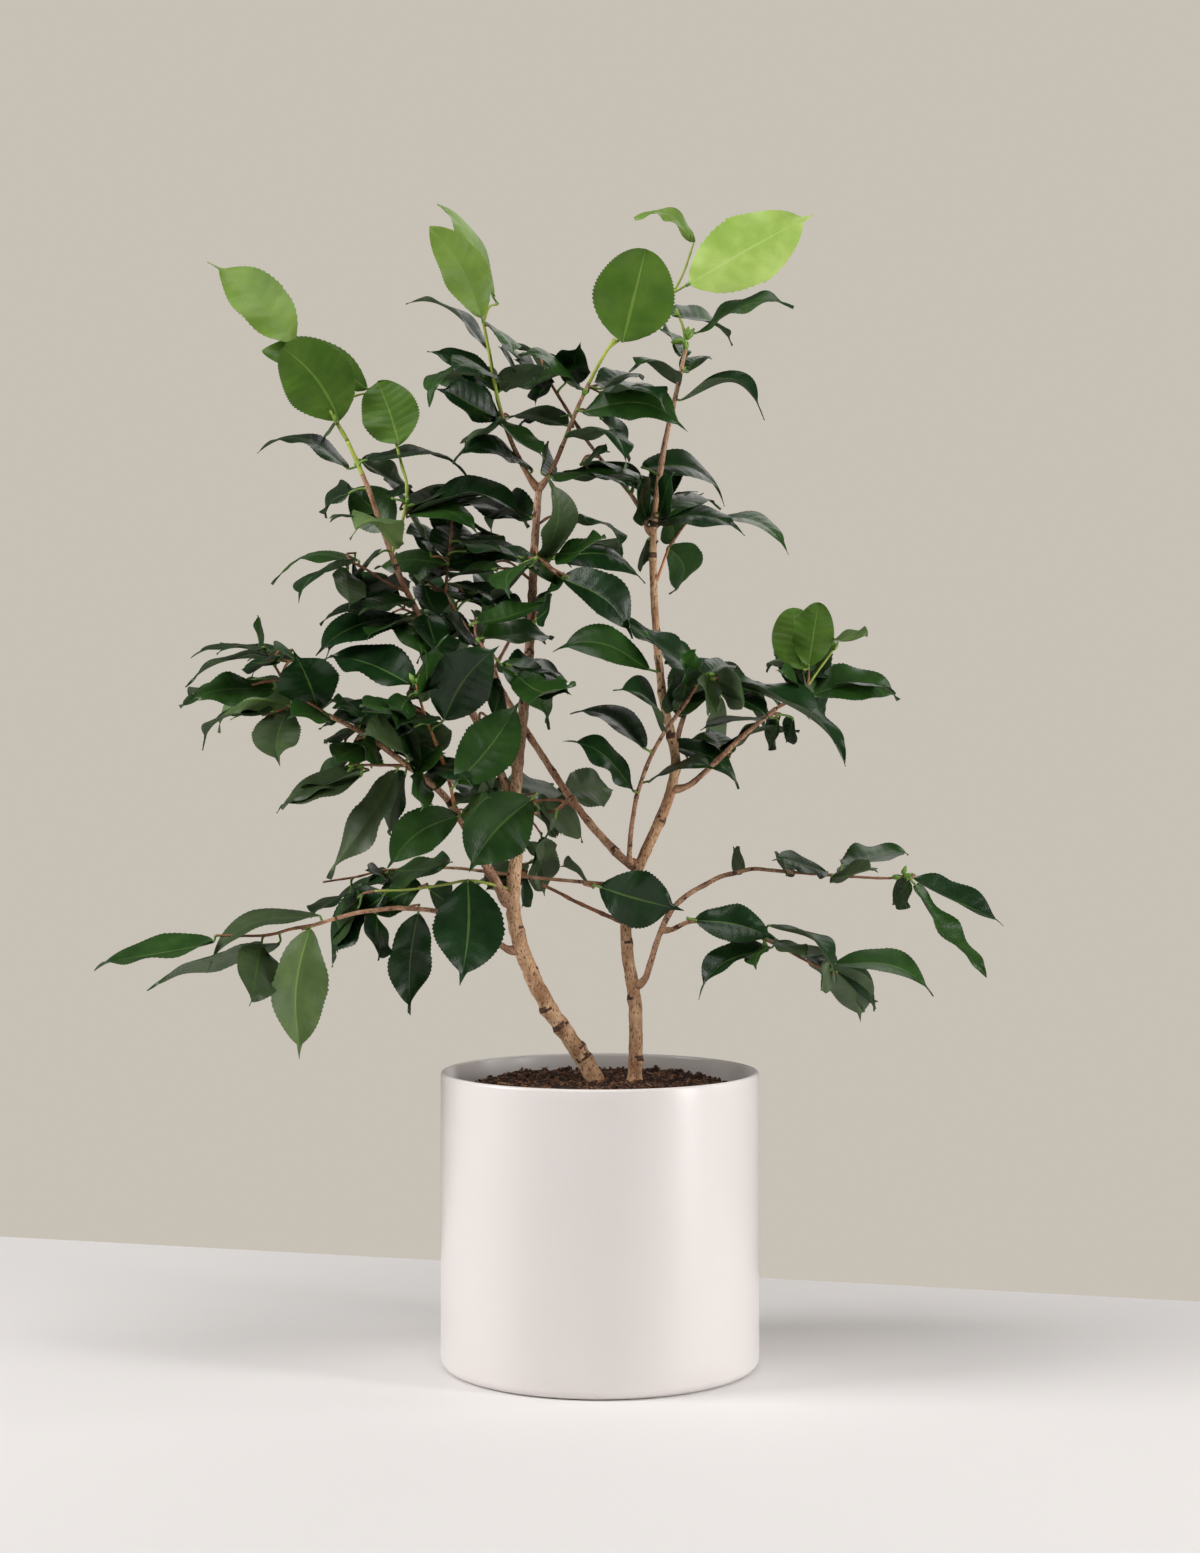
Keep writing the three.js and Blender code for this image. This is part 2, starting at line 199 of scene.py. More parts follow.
pot_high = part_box("pot")[1]
POT_RADIUS = pot_high.x
POT_HEIGHT = pot_high.z
POT_INSIDE = POT_RADIUS - POT_WALL
pot_profile = (
    [(PIN_HOLE, 0), (0.05, 0)]
    + rounded(POT_RADIUS - POT_FOOT_ROUND, POT_FOOT_ROUND, POT_FOOT_ROUND, -90, 0)
    + [(POT_RADIUS, z) for z in np.linspace(0.02, POT_HEIGHT - 0.01, 10)]
    + rounded(POT_RADIUS - POT_LIP_ROUND, POT_HEIGHT - POT_LIP_ROUND, POT_LIP_ROUND, 0, 180)
    + [(POT_INSIDE, z) for z in np.linspace(POT_HEIGHT - 0.01, POT_FLOOR + 0.01, 8)]
    + rounded(POT_INSIDE - POT_CORNER, POT_FLOOR + POT_CORNER, POT_CORNER, 0, -90)
    + [(0.05, POT_FLOOR), (PIN_HOLE, POT_FLOOR)]
)
pot = Joined()
pot.add(*turned(pot_profile, POT_TURNS))
glaze = finish_of(
    "satin_glaze", (0.83, 0.79, 0.775), (0.815, 0.775, 0.76), 0.12, 0.30, 0.00006, 0.004, 0.02)
glaze_shader = glaze.node_tree.nodes["Principled BSDF"]
glaze_shader.inputs["Coat Weight"].default_value = 0.25
glaze_shader.inputs["Coat Roughness"].default_value = 0.28
pot.piece("pot_glazed", [glaze], "pot_glaze", ["pot"])

# ---------------------------------------------------------------- the potting mix
# Moist composted bark and peat, firmed by hand round the stems and sunk a little along the wall.
# Crumbs, bark chips and root fibres lie loose on its top.

MIX_RINGS = 70
MIX_TURNS = 220
MIX_FLAT = 0.085
MIX_EDGE_DROP = 0.012
MIX_GRAIN = 0.0004          # how rough its top is from point to point
MIX_GAP = 0.0004            # between the mix and the pot
MIX_MIDDLE = 0.0005         # radius of its innermost ring
CRUMBS = 3600
CHIPS = 1500
FIBRES = 700

MIX_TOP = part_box("potting_mix")[1].z
mix_random = np.random.default_rng(11)


def ripples(seed, count=6):
    """A smooth, repeatable wander of about 1 over two coordinates that each turn by 2 pi."""
    random = np.random.default_rng(seed)
    turns = random.integers(1, 6, (count, 2)) * random.choice([-1, 1], (count, 2))
    phase = random.uniform(0, 2 * np.pi, count)
    return lambda a, b: sum(np.sin(k * a + m * b + p) for (k, m), p in zip(turns, phase)) / count**0.5


# The mix's lumps: a seed, their breadth and their height.
LUMPS = [(1, 0.12, 0.0013), (2, 0.045, 0.0011), (3, 0.017, 0.0007)]
lumps = [(ripples(seed), 2 * np.pi / size, height) for seed, size, height in LUMPS]


def mix_height(x, y):
    """The height of the mix's top at a place inside the pot."""
    r = np.hypot(x, y)
    sunk = np.clip((r - MIX_FLAT) / (POT_INSIDE - MIX_FLAT), 0, 1)
    rough = sum(height * wander(x * turn, y * turn) for wander, turn, height in lumps)
    return MIX_TOP - MIX_EDGE_DROP * sunk**1.3 + rough


MIX_RADIUS = POT_INSIDE - MIX_GAP
mix_r = np.concatenate([
    np.linspace(MIX_MIDDLE, MIX_RADIUS, MIX_RINGS), [MIX_RADIUS, MIX_RADIUS, MIX_MIDDLE]])
mix_angle = np.arange(MIX_TURNS) * 2 * np.pi / MIX_TURNS
mix_x, mix_y = mix_r[:, None] * np.cos(mix_angle), mix_r[:, None] * np.sin(mix_angle)
mix_z = mix_height(mix_x, mix_y)
mix_z[:-1] += mix_random.normal(0, MIX_GRAIN, (MIX_RINGS + 2, MIX_TURNS))
mix_z[-3] = MIX_TOP - 0.03
mix_z[-2:] = POT_FLOOR + MIX_GAP
mix = Joined()
mix.add(np.stack([mix_x, mix_y, mix_z], axis=2).reshape(-1, 3),
        turned_over(closed_rings(len(mix_z), MIX_TURNS)))
peat = finish_of(
    "moist_peat", (0.070, 0.033, 0.018), (0.016, 0.009, 0.006), 0.012, 0.95, 0.002, 0.0012, 0.04)
mix.piece("potting_mix_top", [peat], "potting_mix", ["potting_mix"])

BLOCK = np.array([[x, y, z] for z in (-1, 1) for x, y in ((-1, -1), (1, -1), (1, 1), (-1, 1))], float)
BLOCK_FACES = [[0, 3, 2, 1], [4, 5, 6, 7], [0, 1, 5, 4], [1, 2, 6, 5], [2, 3, 7, 6], [3, 0, 4, 7]]


def turned_any_way(random):
    """A rotation matrix drawn evenly from every way a crumb can lie."""
    q = random.normal(size=4)
    w, x, y, z = q / np.linalg.norm(q)
    return np.array([
        [1 - 2 * (y * y + z * z), 2 * (x * y - z * w), 2 * (x * z + y * w)],
        [2 * (x * y + z * w), 1 - 2 * (x * x + z * z), 2 * (y * z - x * w)],
        [2 * (x * z - y * w), 2 * (y * z + x * w), 1 - 2 * (x * x + y * y)],
    ])


crumbs = Joined()
for i in range(CRUMBS + CHIPS + FIBRES):
    r = (POT_INSIDE - 0.005) * mix_random.random() ** 0.5
    a = mix_random.uniform(0, 2 * np.pi)
    x, y = r * np.cos(a), r * np.sin(a)
    if i < CRUMBS:
        half = mix_random.uniform(0.0006, 0.0013) * np.array([1.2, 0.8, 0.7])
        tone = 0 if mix_random.random() < 0.6 else 1
    elif i < CRUMBS + CHIPS:
        half = mix_random.uniform(0.0014, 0.0032) * np.array([1, 0.35, 0.2])
        tone = 1 if mix_random.random() < 0.75 else 2
    else:
        half = np.array([mix_random.uniform(0.0015, 0.0045), 0.0002, 0.0002])
        tone = 2
    lying = turned_any_way(mix_random)
    if i >= CRUMBS:
        lying[2] *= 0.3
    corners = BLOCK * half * (1 + mix_random.uniform(-0.3, 0.3, BLOCK.shape))
    middle = [x, y, mix_height(x, y) + half[1] * 0.6]
    crumbs.add(corners @ lying.T + middle, BLOCK_FACES, tone, np.ones(8, bool))
crumbs.piece("mix_crumbs", [
    finish_of("dark_crumb", (0.085, 0.038, 0.020), (0.020, 0.010, 0.006), 0.006, 0.9, 0.0008, 0.0008),
    finish_of("bark_chip", (0.27, 0.125, 0.062), (0.080, 0.034, 0.017), 0.006, 0.85, 0.0008, 0.0008),
    finish_of("root_fibre", (0.55, 0.34, 0.19), (0.25, 0.13, 0.07), 0.01, 0.8, 0.0004, 0.001),
], "potting_mix")

# ---------------------------------------------------------------- the stems and boughs
# Two slender stems rise from one root, with boughs off them. The old bark is thin and tan with pale
# patches, a fine fissured relief, and a swollen knot wherever a leaf or bough has left it.

CUTS_EVERY = 0.012          # spacing of the sections read off a CAD limb
BARK_STEP = 0.0022          # spacing of the rings of the bark
STEM_SIDES = 22
STEM_SUNK = 0.008           # how far a stem runs down into the mix, and how much broader its foot is
STEM_FLARE = 1.35
BOUGH_SIDES = 14
STEM_FISSURES = 0.035       # how deep the fissures are, as a share of the radius
BOUGH_FISSURES = 0.03
KNOT_EVERY = 0.034
KNOT_SWELL = 0.17
COLLAR = 0.55               # swelling where a bough leaves its parent, as a share of its radius
SCAR_FROM = 0.55            # how dark the relief has to call the bark before it is a scar


def length_along(points):
    """How far along a line each of its points is."""
    return np.concatenate([[0], np.cumsum(np.linalg.norm(np.diff(points, axis=0), axis=1))])


def limb_line(name):
    """The centreline of a CAD limb or mass and its radius there, read off its mesh by cutting it
    wherever the way along the surface from its foot passes another step."""
    mesh = cad_nodes[name].data
    corners = np.array([v.co for v in mesh.vertices])
    corners, same = np.unique(np.round(corners, 6), axis=0, return_inverse=True)
    edges = {tuple(sorted((same.ravel()[a], same.ravel()[b]))) for a, b in (e.vertices for e in mesh.edges)}
    edges = np.array([e for e in edges if e[0] != e[1]])
    lengths = np.linalg.norm(corners[edges[:, 0]] - corners[edges[:, 1]], axis=1)
    beside = [[] for _ in corners]
    for (a, b), length in zip(edges, lengths):
        beside[a].append((b, length))
        beside[b].append((a, length))

    def ways_from(start):
        way = np.full(len(corners), np.inf)
        way[start] = 0
        queue = [(0, start)]
        while queue:
            so_far, at = heapq.heappop(queue)
            if so_far > way[at]:
                continue
            for to, length in beside[at]:
                if so_far + length < way[to]:
                    way[to] = so_far + length
                    heapq.heappush(queue, (so_far + length, to))
        return way

    one_end = int(np.argmax(ways_from(0)))
    way = ways_from(one_end)
    levels = np.linspace(0, way.max(), max(4, int(way.max() / CUTS_EVERY)))[1:-1]
    line, radii = [], []
    for level in levels:
        a, b = way[edges[:, 0]], way[edges[:, 1]]
        cut = (a < level) != (b < level)
        share = ((level - a[cut]) / (b[cut] - a[cut]))[:, None]
        ring = corners[edges[cut, 0]] * (1 - share) + corners[edges[cut, 1]] * share
        line.append(ring.mean(axis=0))
        radii.append(np.linalg.norm(ring - line[-1], axis=1).mean())
    line, radii = np.array(line), np.array(radii)
    ends = [line[0] * 1.5 - line[1] * 0.5, line[-1] * 1.5 - line[-2] * 0.5]
    line = np.vstack([ends[0], line, ends[1]])
    radii = np.concatenate([radii[:1], radii, radii[-1:]])
    return line, radii


def smooth_route(points, step, values=None):
    """A smooth curve through the points, with a point every `step`, and the values along it."""
    points = np.asarray(points, float)
    if len(points) == 2:
        points = np.array([points[0], points.mean(axis=0), points[1]])
        values = None if values is None else np.array([values[0], np.mean(values), values[-1]])
    ends = np.vstack([2 * points[0] - points[1], points, 2 * points[-1] - points[-2]])
    fine = []
    for a, b, c, d in zip(ends, ends[1:], ends[2:], ends[3:]):
        t = np.linspace(0, 1, 12, endpoint=False)[:, None]
        fine.append(0.5 * (
            2 * b + (c - a) * t + (2 * a - 5 * b + 4 * c - d) * t**2 + (3 * b - a - 3 * c + d) * t**3))
    fine = np.vstack([*fine, points[-1:]])
    along = length_along(fine)
    at = np.linspace(0, along[-1], max(4, int(along[-1] / step) + 1))
    route = np.stack([np.interp(at, along, fine[:, k]) for k in range(3)], axis=1)
    if values is None:
        return route
    places = along[:: 12][: len(points)]
    return route, np.interp(at, places, values)


def cross_frames(route):
    """Two directions across a route at each of its points, carried along it without twist."""
    along = np.gradient(route, axis=0)
    along /= np.linalg.norm(along, axis=1)[:, None]
    across = np.cross(along[0], [0.3, 1, 0.2])
    frames = []
    for direction in along:
        across = across - direction * across.dot(direction)
        across /= np.linalg.norm(across)
        frames.append((across, np.cross(direction, across)))
    return along, np.array(frames)


def tube(route, radii, sides, relief=None):
    """A closed tube along a route. `relief` gives each ring's radius as a share, by angle."""
    _, frames = cross_frames(route)
    angles = np.arange(sides) * 2 * np.pi / sides
    size = np.asarray(radii)[:, None] * (np.ones((len(route), sides)) if relief is None else relief)
    points = (route[:, None]
              + frames[:, None, 0] * (np.cos(angles) * size)[..., None]
              + frames[:, None, 1] * (np.sin(angles) * size)[..., None])
    return points.reshape(-1, 3), closed_rings(len(route), sides)


def bark_relief(route, sides, seed, depth, marked=()):
    """Fissures that run along the limb, and knots at uneven steps and at the marked heights. The
    second table is how dark the bark is, from 0 to about 1 on a knot."""
    random = np.random.default_rng(seed)
    along = length_along(route)[:, None]
    angle = (np.arange(sides) * 2 * np.pi / sides)[None]
    slow, quick = ripples(seed, 7), ripples(seed + 500, 9)
    size = 1 + depth * (
        slow(angle, along * 2 * np.pi / 0.05) + 0.7 * quick(angle * 2, along * 2 * np.pi / 0.02))
    size = size + random.normal(0, depth * 0.5, size.shape)
    scar = 0.25 * ripples(seed + 900, 9)(angle, along * 2 * np.pi / 0.013)
    knots = [along[int(np.argmin(np.abs(route[:, 2] - height))), 0] for height in marked]
    marks = len(knots)
    at = random.uniform(0.4, 1) * KNOT_EVERY
    while at < along[-1, 0]:
        knots.append(at)
        at += KNOT_EVERY * random.uniform(0.6, 1.5)
    for number, at in enumerate(knots):
        strength = 1.5 if number < marks else random.uniform(0.5, 1.3)
        one_side = 0.55 + 0.45 * np.cos(angle - random.uniform(0, 2 * np.pi))
        size += KNOT_SWELL * strength * np.exp(-(((along - at) / 0.0032) ** 2)) * one_side
        scar = scar + strength * one_side * np.exp(-(((along - at - 0.001) / 0.0022) ** 2))
    return size, scar


wood = []                   # the route and radii of all the wood that a stalk can spring from


def unit(v):
    return v / np.linalg.norm(v)


def growth_at(route, k):
    """The direction of growth at the k-th point of a route."""
    return unit(route[min(k + 1, len(route) - 1)] - route[max(k - 1, 0)])


def nearest_wood(place):
    """How near the nearest point on the wood is, that point, and its radius."""
    nearest = None
    for route, radii in wood:
        gaps = np.linalg.norm(route - place, axis=1)
        k = int(np.argmin(gaps))
        if nearest is None or gaps[k] < nearest[0]:
            nearest = (gaps[k], route[k], radii[k])
    return nearest


# Heights of the knots that stand out, of the change to redder bark, and of this year's green shoots.
MARKED_KNOTS = {
    "stem_left": (0.246, 0.278, 0.523, 0.593), "stem_right": (0.238, 0.286, 0.491, 0.634, 0.658),
    "bough_right_low": (0.352, 0.384), "bough_left_mid": (0.44, 0.468),
}
REDDENS_AT = {"stem_left": 0.43, "stem_right": 0.66}
STILL_GREEN = {"shoot_top_left": 0.745, "shoot_top_middle": 0.768, "bough_left_upper": 0.7}
NEVER = 2                   # a height above the whole plant
REDDENED, SCARRED, GREEN = 1, 2, 3

STEM_NAMES = ["stem_left", "stem_right"]
BOUGH_NAMES = sorted(n for n in cad_nodes if n.startswith(("bough_", "shoot_")))
stem_bark, bough_bark = Joined(), Joined()
for number, name in enumerate(STEM_NAMES + BOUGH_NAMES):
    line, radii = limb_line(name)
    is_stem = name in STEM_NAMES
    if is_stem:
        foot_first = line[0, 2] < line[-1, 2]
    else:
        foot_first = nearest_wood(line[0])[0] < nearest_wood(line[-1])[0]
    if not foot_first:
        line, radii = line[::-1], radii[::-1]
    if is_stem:
        line = np.vstack([line[0] + unit(line[0] - line[2]) * STEM_SUNK, line])
        radii = np.concatenate([[radii[0] * STEM_FLARE], radii])
    else:
        _, place, parent_radius = nearest_wood(line[0])
        line = np.vstack([place, line[1:]])
        radii = np.concatenate([radii[:1], radii[1:]])
    route, size = smooth_route(line, BARK_STEP, radii)
    along = np.arange(len(route)) * BARK_STEP
    if not is_stem:
        size = size * (1 + COLLAR * np.exp(-(((along - parent_radius) / 0.006) ** 2)))
    sides = STEM_SIDES if is_stem else BOUGH_SIDES
    depth = STEM_FISSURES if is_stem else BOUGH_FISSURES
    relief, scar = bark_relief(route, sides, 40 + number, depth, MARKED_KNOTS.get(name, ()))
    finish = np.zeros((len(route) - 1, sides), int)
    young = np.clip((route[:-1, 2] - REDDENS_AT.get(name, NEVER)) / 0.05, 0, 1)
    finish[np.random.default_rng(number).random(finish.shape) < young[:, None]] = REDDENED
    finish[scar[:-1] > SCAR_FROM] = SCARRED
    finish[route[:-1, 2] > STILL_GREEN.get(name, NEVER)] = GREEN
    points, faces = tube(route, size, sides, relief)
    finish = np.concatenate([finish.ravel(), np.full(len(faces) - finish.size, SCARRED)])
    (stem_bark if is_stem else bough_bark).add(points, faces, finish)
    wood.append((route, size))

LENGTHWAYS = (1, 1, 0.45)    # draws the grain out along a limb
old_bark = finish_of(
    "old_bark", (0.80, 0.53, 0.31), (0.42, 0.215, 0.105),
    0.009, 0.7, 0.0006, 0.0014, 0.08, LENGTHWAYS, (0.19, 0.088, 0.044))
red_bark = finish_of(
    "reddened_bark", (0.66, 0.42, 0.27), (0.34, 0.175, 0.10),
    0.010, 0.68, 0.0006, 0.0012, 0.08, LENGTHWAYS, (0.09, 0.036, 0.022))
young_bark = finish_of(
    "young_bark", (0.64, 0.38, 0.23), (0.31, 0.15, 0.08),
    0.009, 0.65, 0.0005, 0.001, 0.08, LENGTHWAYS, (0.10, 0.040, 0.024))
scar_bark = finish_of(
    "bark_scar", (0.19, 0.090, 0.052), (0.050, 0.024, 0.016), 0.003, 0.85, 0.0008, 0.0009)
green_bark = finish_of("green_bark", (0.50, 0.60, 0.085), (0.36, 0.44, 0.055), 0.012, 0.5, 0.0002, 0.001)
stem_bark.piece("stem_bark", [old_bark, red_bark, scar_bark, green_bark], "old_bark", STEM_NAMES)
bough_bark.piece("bough_bark", [young_bark, red_bark, scar_bark, green_bark], "young_bark", BOUGH_NAMES)

# ---------------------------------------------------------------- the twigs
# Thin shoots that carry the leaves on past the boughs' ends: reddish brown where they have ripened,
# and yellow-green where this year's growth is still soft.

EYE_BACK = 1.99             # how far in front of the pot the plant is looked at from, and how high
EYE_HEIGHT = 0.461
TWIG_STEP = 0.003
TWIG_SIDES = 8
RIPE, SOFT, WARM = range(3)


def place_at(x, z, depth):
    """The place that looks to be at x, z (millimetres, on the pot's middle plane), `depth` behind it."""
    share = (EYE_BACK + depth) / EYE_BACK
    return np.array([x / 1000 * share, depth, EYE_HEIGHT + (z / 1000 - EYE_HEIGHT) * share])


def looks_at(points):
    """Where places look to be on the pot's middle plane, in millimetres: x and z."""
    points = np.atleast_2d(points)
    share = EYE_BACK / (EYE_BACK + points[:, 1])
    x = points[:, 0] * share
    z = EYE_HEIGHT + (points[:, 2] - EYE_HEIGHT) * share
    return np.stack([x, z], axis=1) * 1000


def twig_relief(route, seed):
    """A twig's rings as shares of its radius, a little swollen at each joint."""
    random = np.random.default_rng(seed)
    along = np.arange(len(route))[:, None] * TWIG_STEP
    angle = (np.arange(TWIG_SIDES) * 2 * np.pi / TWIG_SIDES)[None]
    size = 1 + 0.05 * ripples(seed, 5)(angle, along * 2 * np.pi / 0.03)
    at = random.uniform(0.006, 0.014)
    while at < along[-1, 0]:
        size += random.uniform(0.12, 0.3) * np.exp(-(((along - at) / 0.0022) ** 2))
        at += random.uniform(0.011, 0.022)
    return size


twigs = Joined()


def grow_twig(points, start_radius, end_radius, ripeness=RIPE):
    """A tapering twig through the points. Its foot is moved onto the nearest wood."""
    points = np.array(points, float)
    points[0] = nearest_wood(points[0])[1]
    route = smooth_route(points, TWIG_STEP)
    radii = np.linspace(start_radius, end_radius, len(route))
    twigs.add(*tube(route, radii, TWIG_SIDES, twig_relief(route, 900 + len(wood))), ripeness)
    wood.append((route, radii))
    return route


# Each twig: its radius at foot and end, how ripe it is, and where points on it look to be: x and z on
# the pot's middle plane, and how far behind that plane they are. All are in millimetres.
TWIGS = [
    (1.7, 1.3, SOFT, [(-206, 740, 20), (-214, 752, 20), (-224, 776, 19), (-239, 803, 14)]),
    (1.5, 1.1, SOFT, [(-155, 640, 14), (-154, 668, 12), (-152, 690, 12), (-156, 706, 14), (-160, 722, 16)]),
    (1.2, 0.9, RIPE, [(-152, 604, 14), (-168, 614, 10), (-184, 624, 6), (-198, 631, 4)]),
    (1.4, 1.0, RIPE, [(-124, 606, 58), (-120, 622, 50), (-118, 642, 40)]),
    (1.5, 1.0, WARM, [
        (-112, 435, -38), (-118, 455, -52), (-127, 482, -60), (-137, 507, -58), (-145, 534, -52)]),
    (1.3, 0.9, RIPE, [(-152, 469, -52), (-172, 470, -56), (-193, 470, -60)]),
    (1.4, 0.9, RIPE, [(-232, 517, -70), (-244, 530, -72), (-254, 545, -74), (-264, 562, -76)]),
    (1.2, 0.8, RIPE, [(-250, 538, -74), (-262, 536, -78), (-274, 533, -82)]),
    (1.2, 0.9, RIPE, [(-236, 518, -70), (-252, 513, -74), (-266, 509, -78)]),
    (1.3, 0.9, RIPE, [(-225, 347, -40), (-243, 341, -42), (-264, 336, -44), (-302, 336, -48)]),
    (1.2, 0.9, SOFT, [
        (-60, 372, -12), (-100, 379, -28), (-122, 376, -20), (-150, 372, -10), (-177, 371, -2)]),
    (1.1, 0.8, RIPE, [(-150, 389, 52), (-170, 387, 50), (-192, 382, 48), (-218, 378, 44)]),
    (1.8, 1.3, RIPE, [(17, 345, 4), (0, 354, 12), (-20, 363, 18), (-33, 370, 20), (-46, 376, 20)]),
    (1.3, 1.0, RIPE, [(-14, 433, 24), (-30, 442, 34), (-53, 442, 40)]),
    (1.2, 0.9, RIPE, [(-104, 572, 54), (-113, 566, 50), (-116, 558, 46)]),
    (1.1, 0.8, RIPE, [(-96, 562, 50), (-92, 568, 40), (-88, 574, 34)]),
    (1.3, 0.9, RIPE, [(205, 381, 22), (222, 381, 20), (245, 384, 16)]),
    (1.2, 0.8, RIPE, [(150, 322, -50), (168, 313, -58), (186, 305, -64)]),
    (1.3, 0.9, RIPE, [(146, 520, -12), (160, 528, -14), (164, 540, -16), (163, 549, -18)]),
    (1.1, 0.8, SOFT, [(162, 532, -14), (172, 545, -12), (184, 561, -8)]),
    (1.3, 0.9, RIPE, [(74, 530, -52), (80, 537, -54), (92, 538, -56), (104, 536, -56)]),
    (1.2, 0.9, SOFT, [(10, 796, -20), (24, 812, -10), (42, 830, -4), (57, 841, -8), (71, 849, -14)]),
    (1.0, 0.8, SOFT, [(57, 841, -8), (66, 858, 8), (74, 882, 20)]),
    (1.3, 0.9, SOFT, [(68, 800, -8), (66, 812, -6), (60, 829, -4)]),
    (1.2, 0.9, WARM, [(46, 610, 2), (50, 630, 8), (54, 641, 12)]),
    (1.5, 1.0, RIPE, [(-38, 762, 28), (-42, 776, 34), (-46, 790, 38)]),
]
for foot_radius, end_radius, ripeness, points in TWIGS:
    route = [place_at(x, z, depth / 1000) for x, z, depth in points]
    grow_twig(route, foot_radius / 1000, end_radius / 1000, ripeness)

# ---------------------------------------------------------------- the leaves
# Thick, stiff evergreen blades, 6 to 11 cm long, each on a short stalk: oval with a drawn-out tip, a
# finely toothed edge, a sunken midrib and a surface puffed a little between the side veins.

LEAF_LENGTH = 0.076         # a usual full-grown leaf
LEAF_LENGTH_SPREAD = 0.008
LEAF_SHAPE = 0.47           # its width over its length
BLUNT_SHAPE = 0.57          # a young leaf broader than this has a round end, and others a plain point
LONG_LEAF = 0.100           # a longer young leaf has the drawn-out tip of a grown one
TEETH = 24                  # on each side, with a side vein to every third
TOOTH_DEPTH = 0.022
VEIN_SLANT = 0.11           # how far a side vein has run forward by the time it is at the edge
VEIN_PUFF = 0.00042
RIB_HALF = 0.032            # half the midrib's width, as a share of the half blade
LEAF_THICKNESS = 0.00045
STALK_RADIUS = 0.00095
STALK_LENGTH = 0.008
SIDE_TWIG_PAST = 0.017      # a leaf further than this from the wood has a side twig of its own
LEAF_TURN = math.radians(137.5)     # from one leaf to the next round a shoot

TOP, UNDER, RIB, VEIN = range(4)
TOOTH_STEP = 0.87 / TEETH
tooth_at = 0.075 + TOOTH_STEP * np.arange(TEETH)
tooth_edges = np.stack([tooth_at, tooth_at + 0.66 * TOOTH_STEP], axis=1).ravel()
STATIONS = np.concatenate([[0, 0.012, 0.038], tooth_edges, [0.955, 0.98, 1]])
EDGE_TOOTH = np.concatenate([[0, 0, 0], np.tile([-1.0, 1.0], TEETH), [0, 0, 0]])
COLUMNS = np.array([-1, -0.62, -0.25, -RIB_HALF, RIB_HALF, 0.25, 0.62, 1])
AROUND = 2 * len(COLUMNS)


def outline(along, point, fullness):
    """The half width of a blade at a share of its length, as a share of its widest. `point` is the
    share of its length that is drawn out into the tip. The further end is rounder the lower its
    `fullness`."""
    widest = 0.45
    foot = np.sin(np.pi / 2 * np.clip(along / widest, 0, 1)) ** 0.66
    body = np.cos(np.pi / 2 * np.clip((along - widest) / (1 - point - widest), 0, 1)) ** fullness
    spur = np.where(along < widest, 0, 0.9 * (1 - along)) * (point > 0)
    return np.maximum(foot * (body**3 + spur**3) ** (1 / 3), np.where(along < 0.5, 0.035, 0.008))


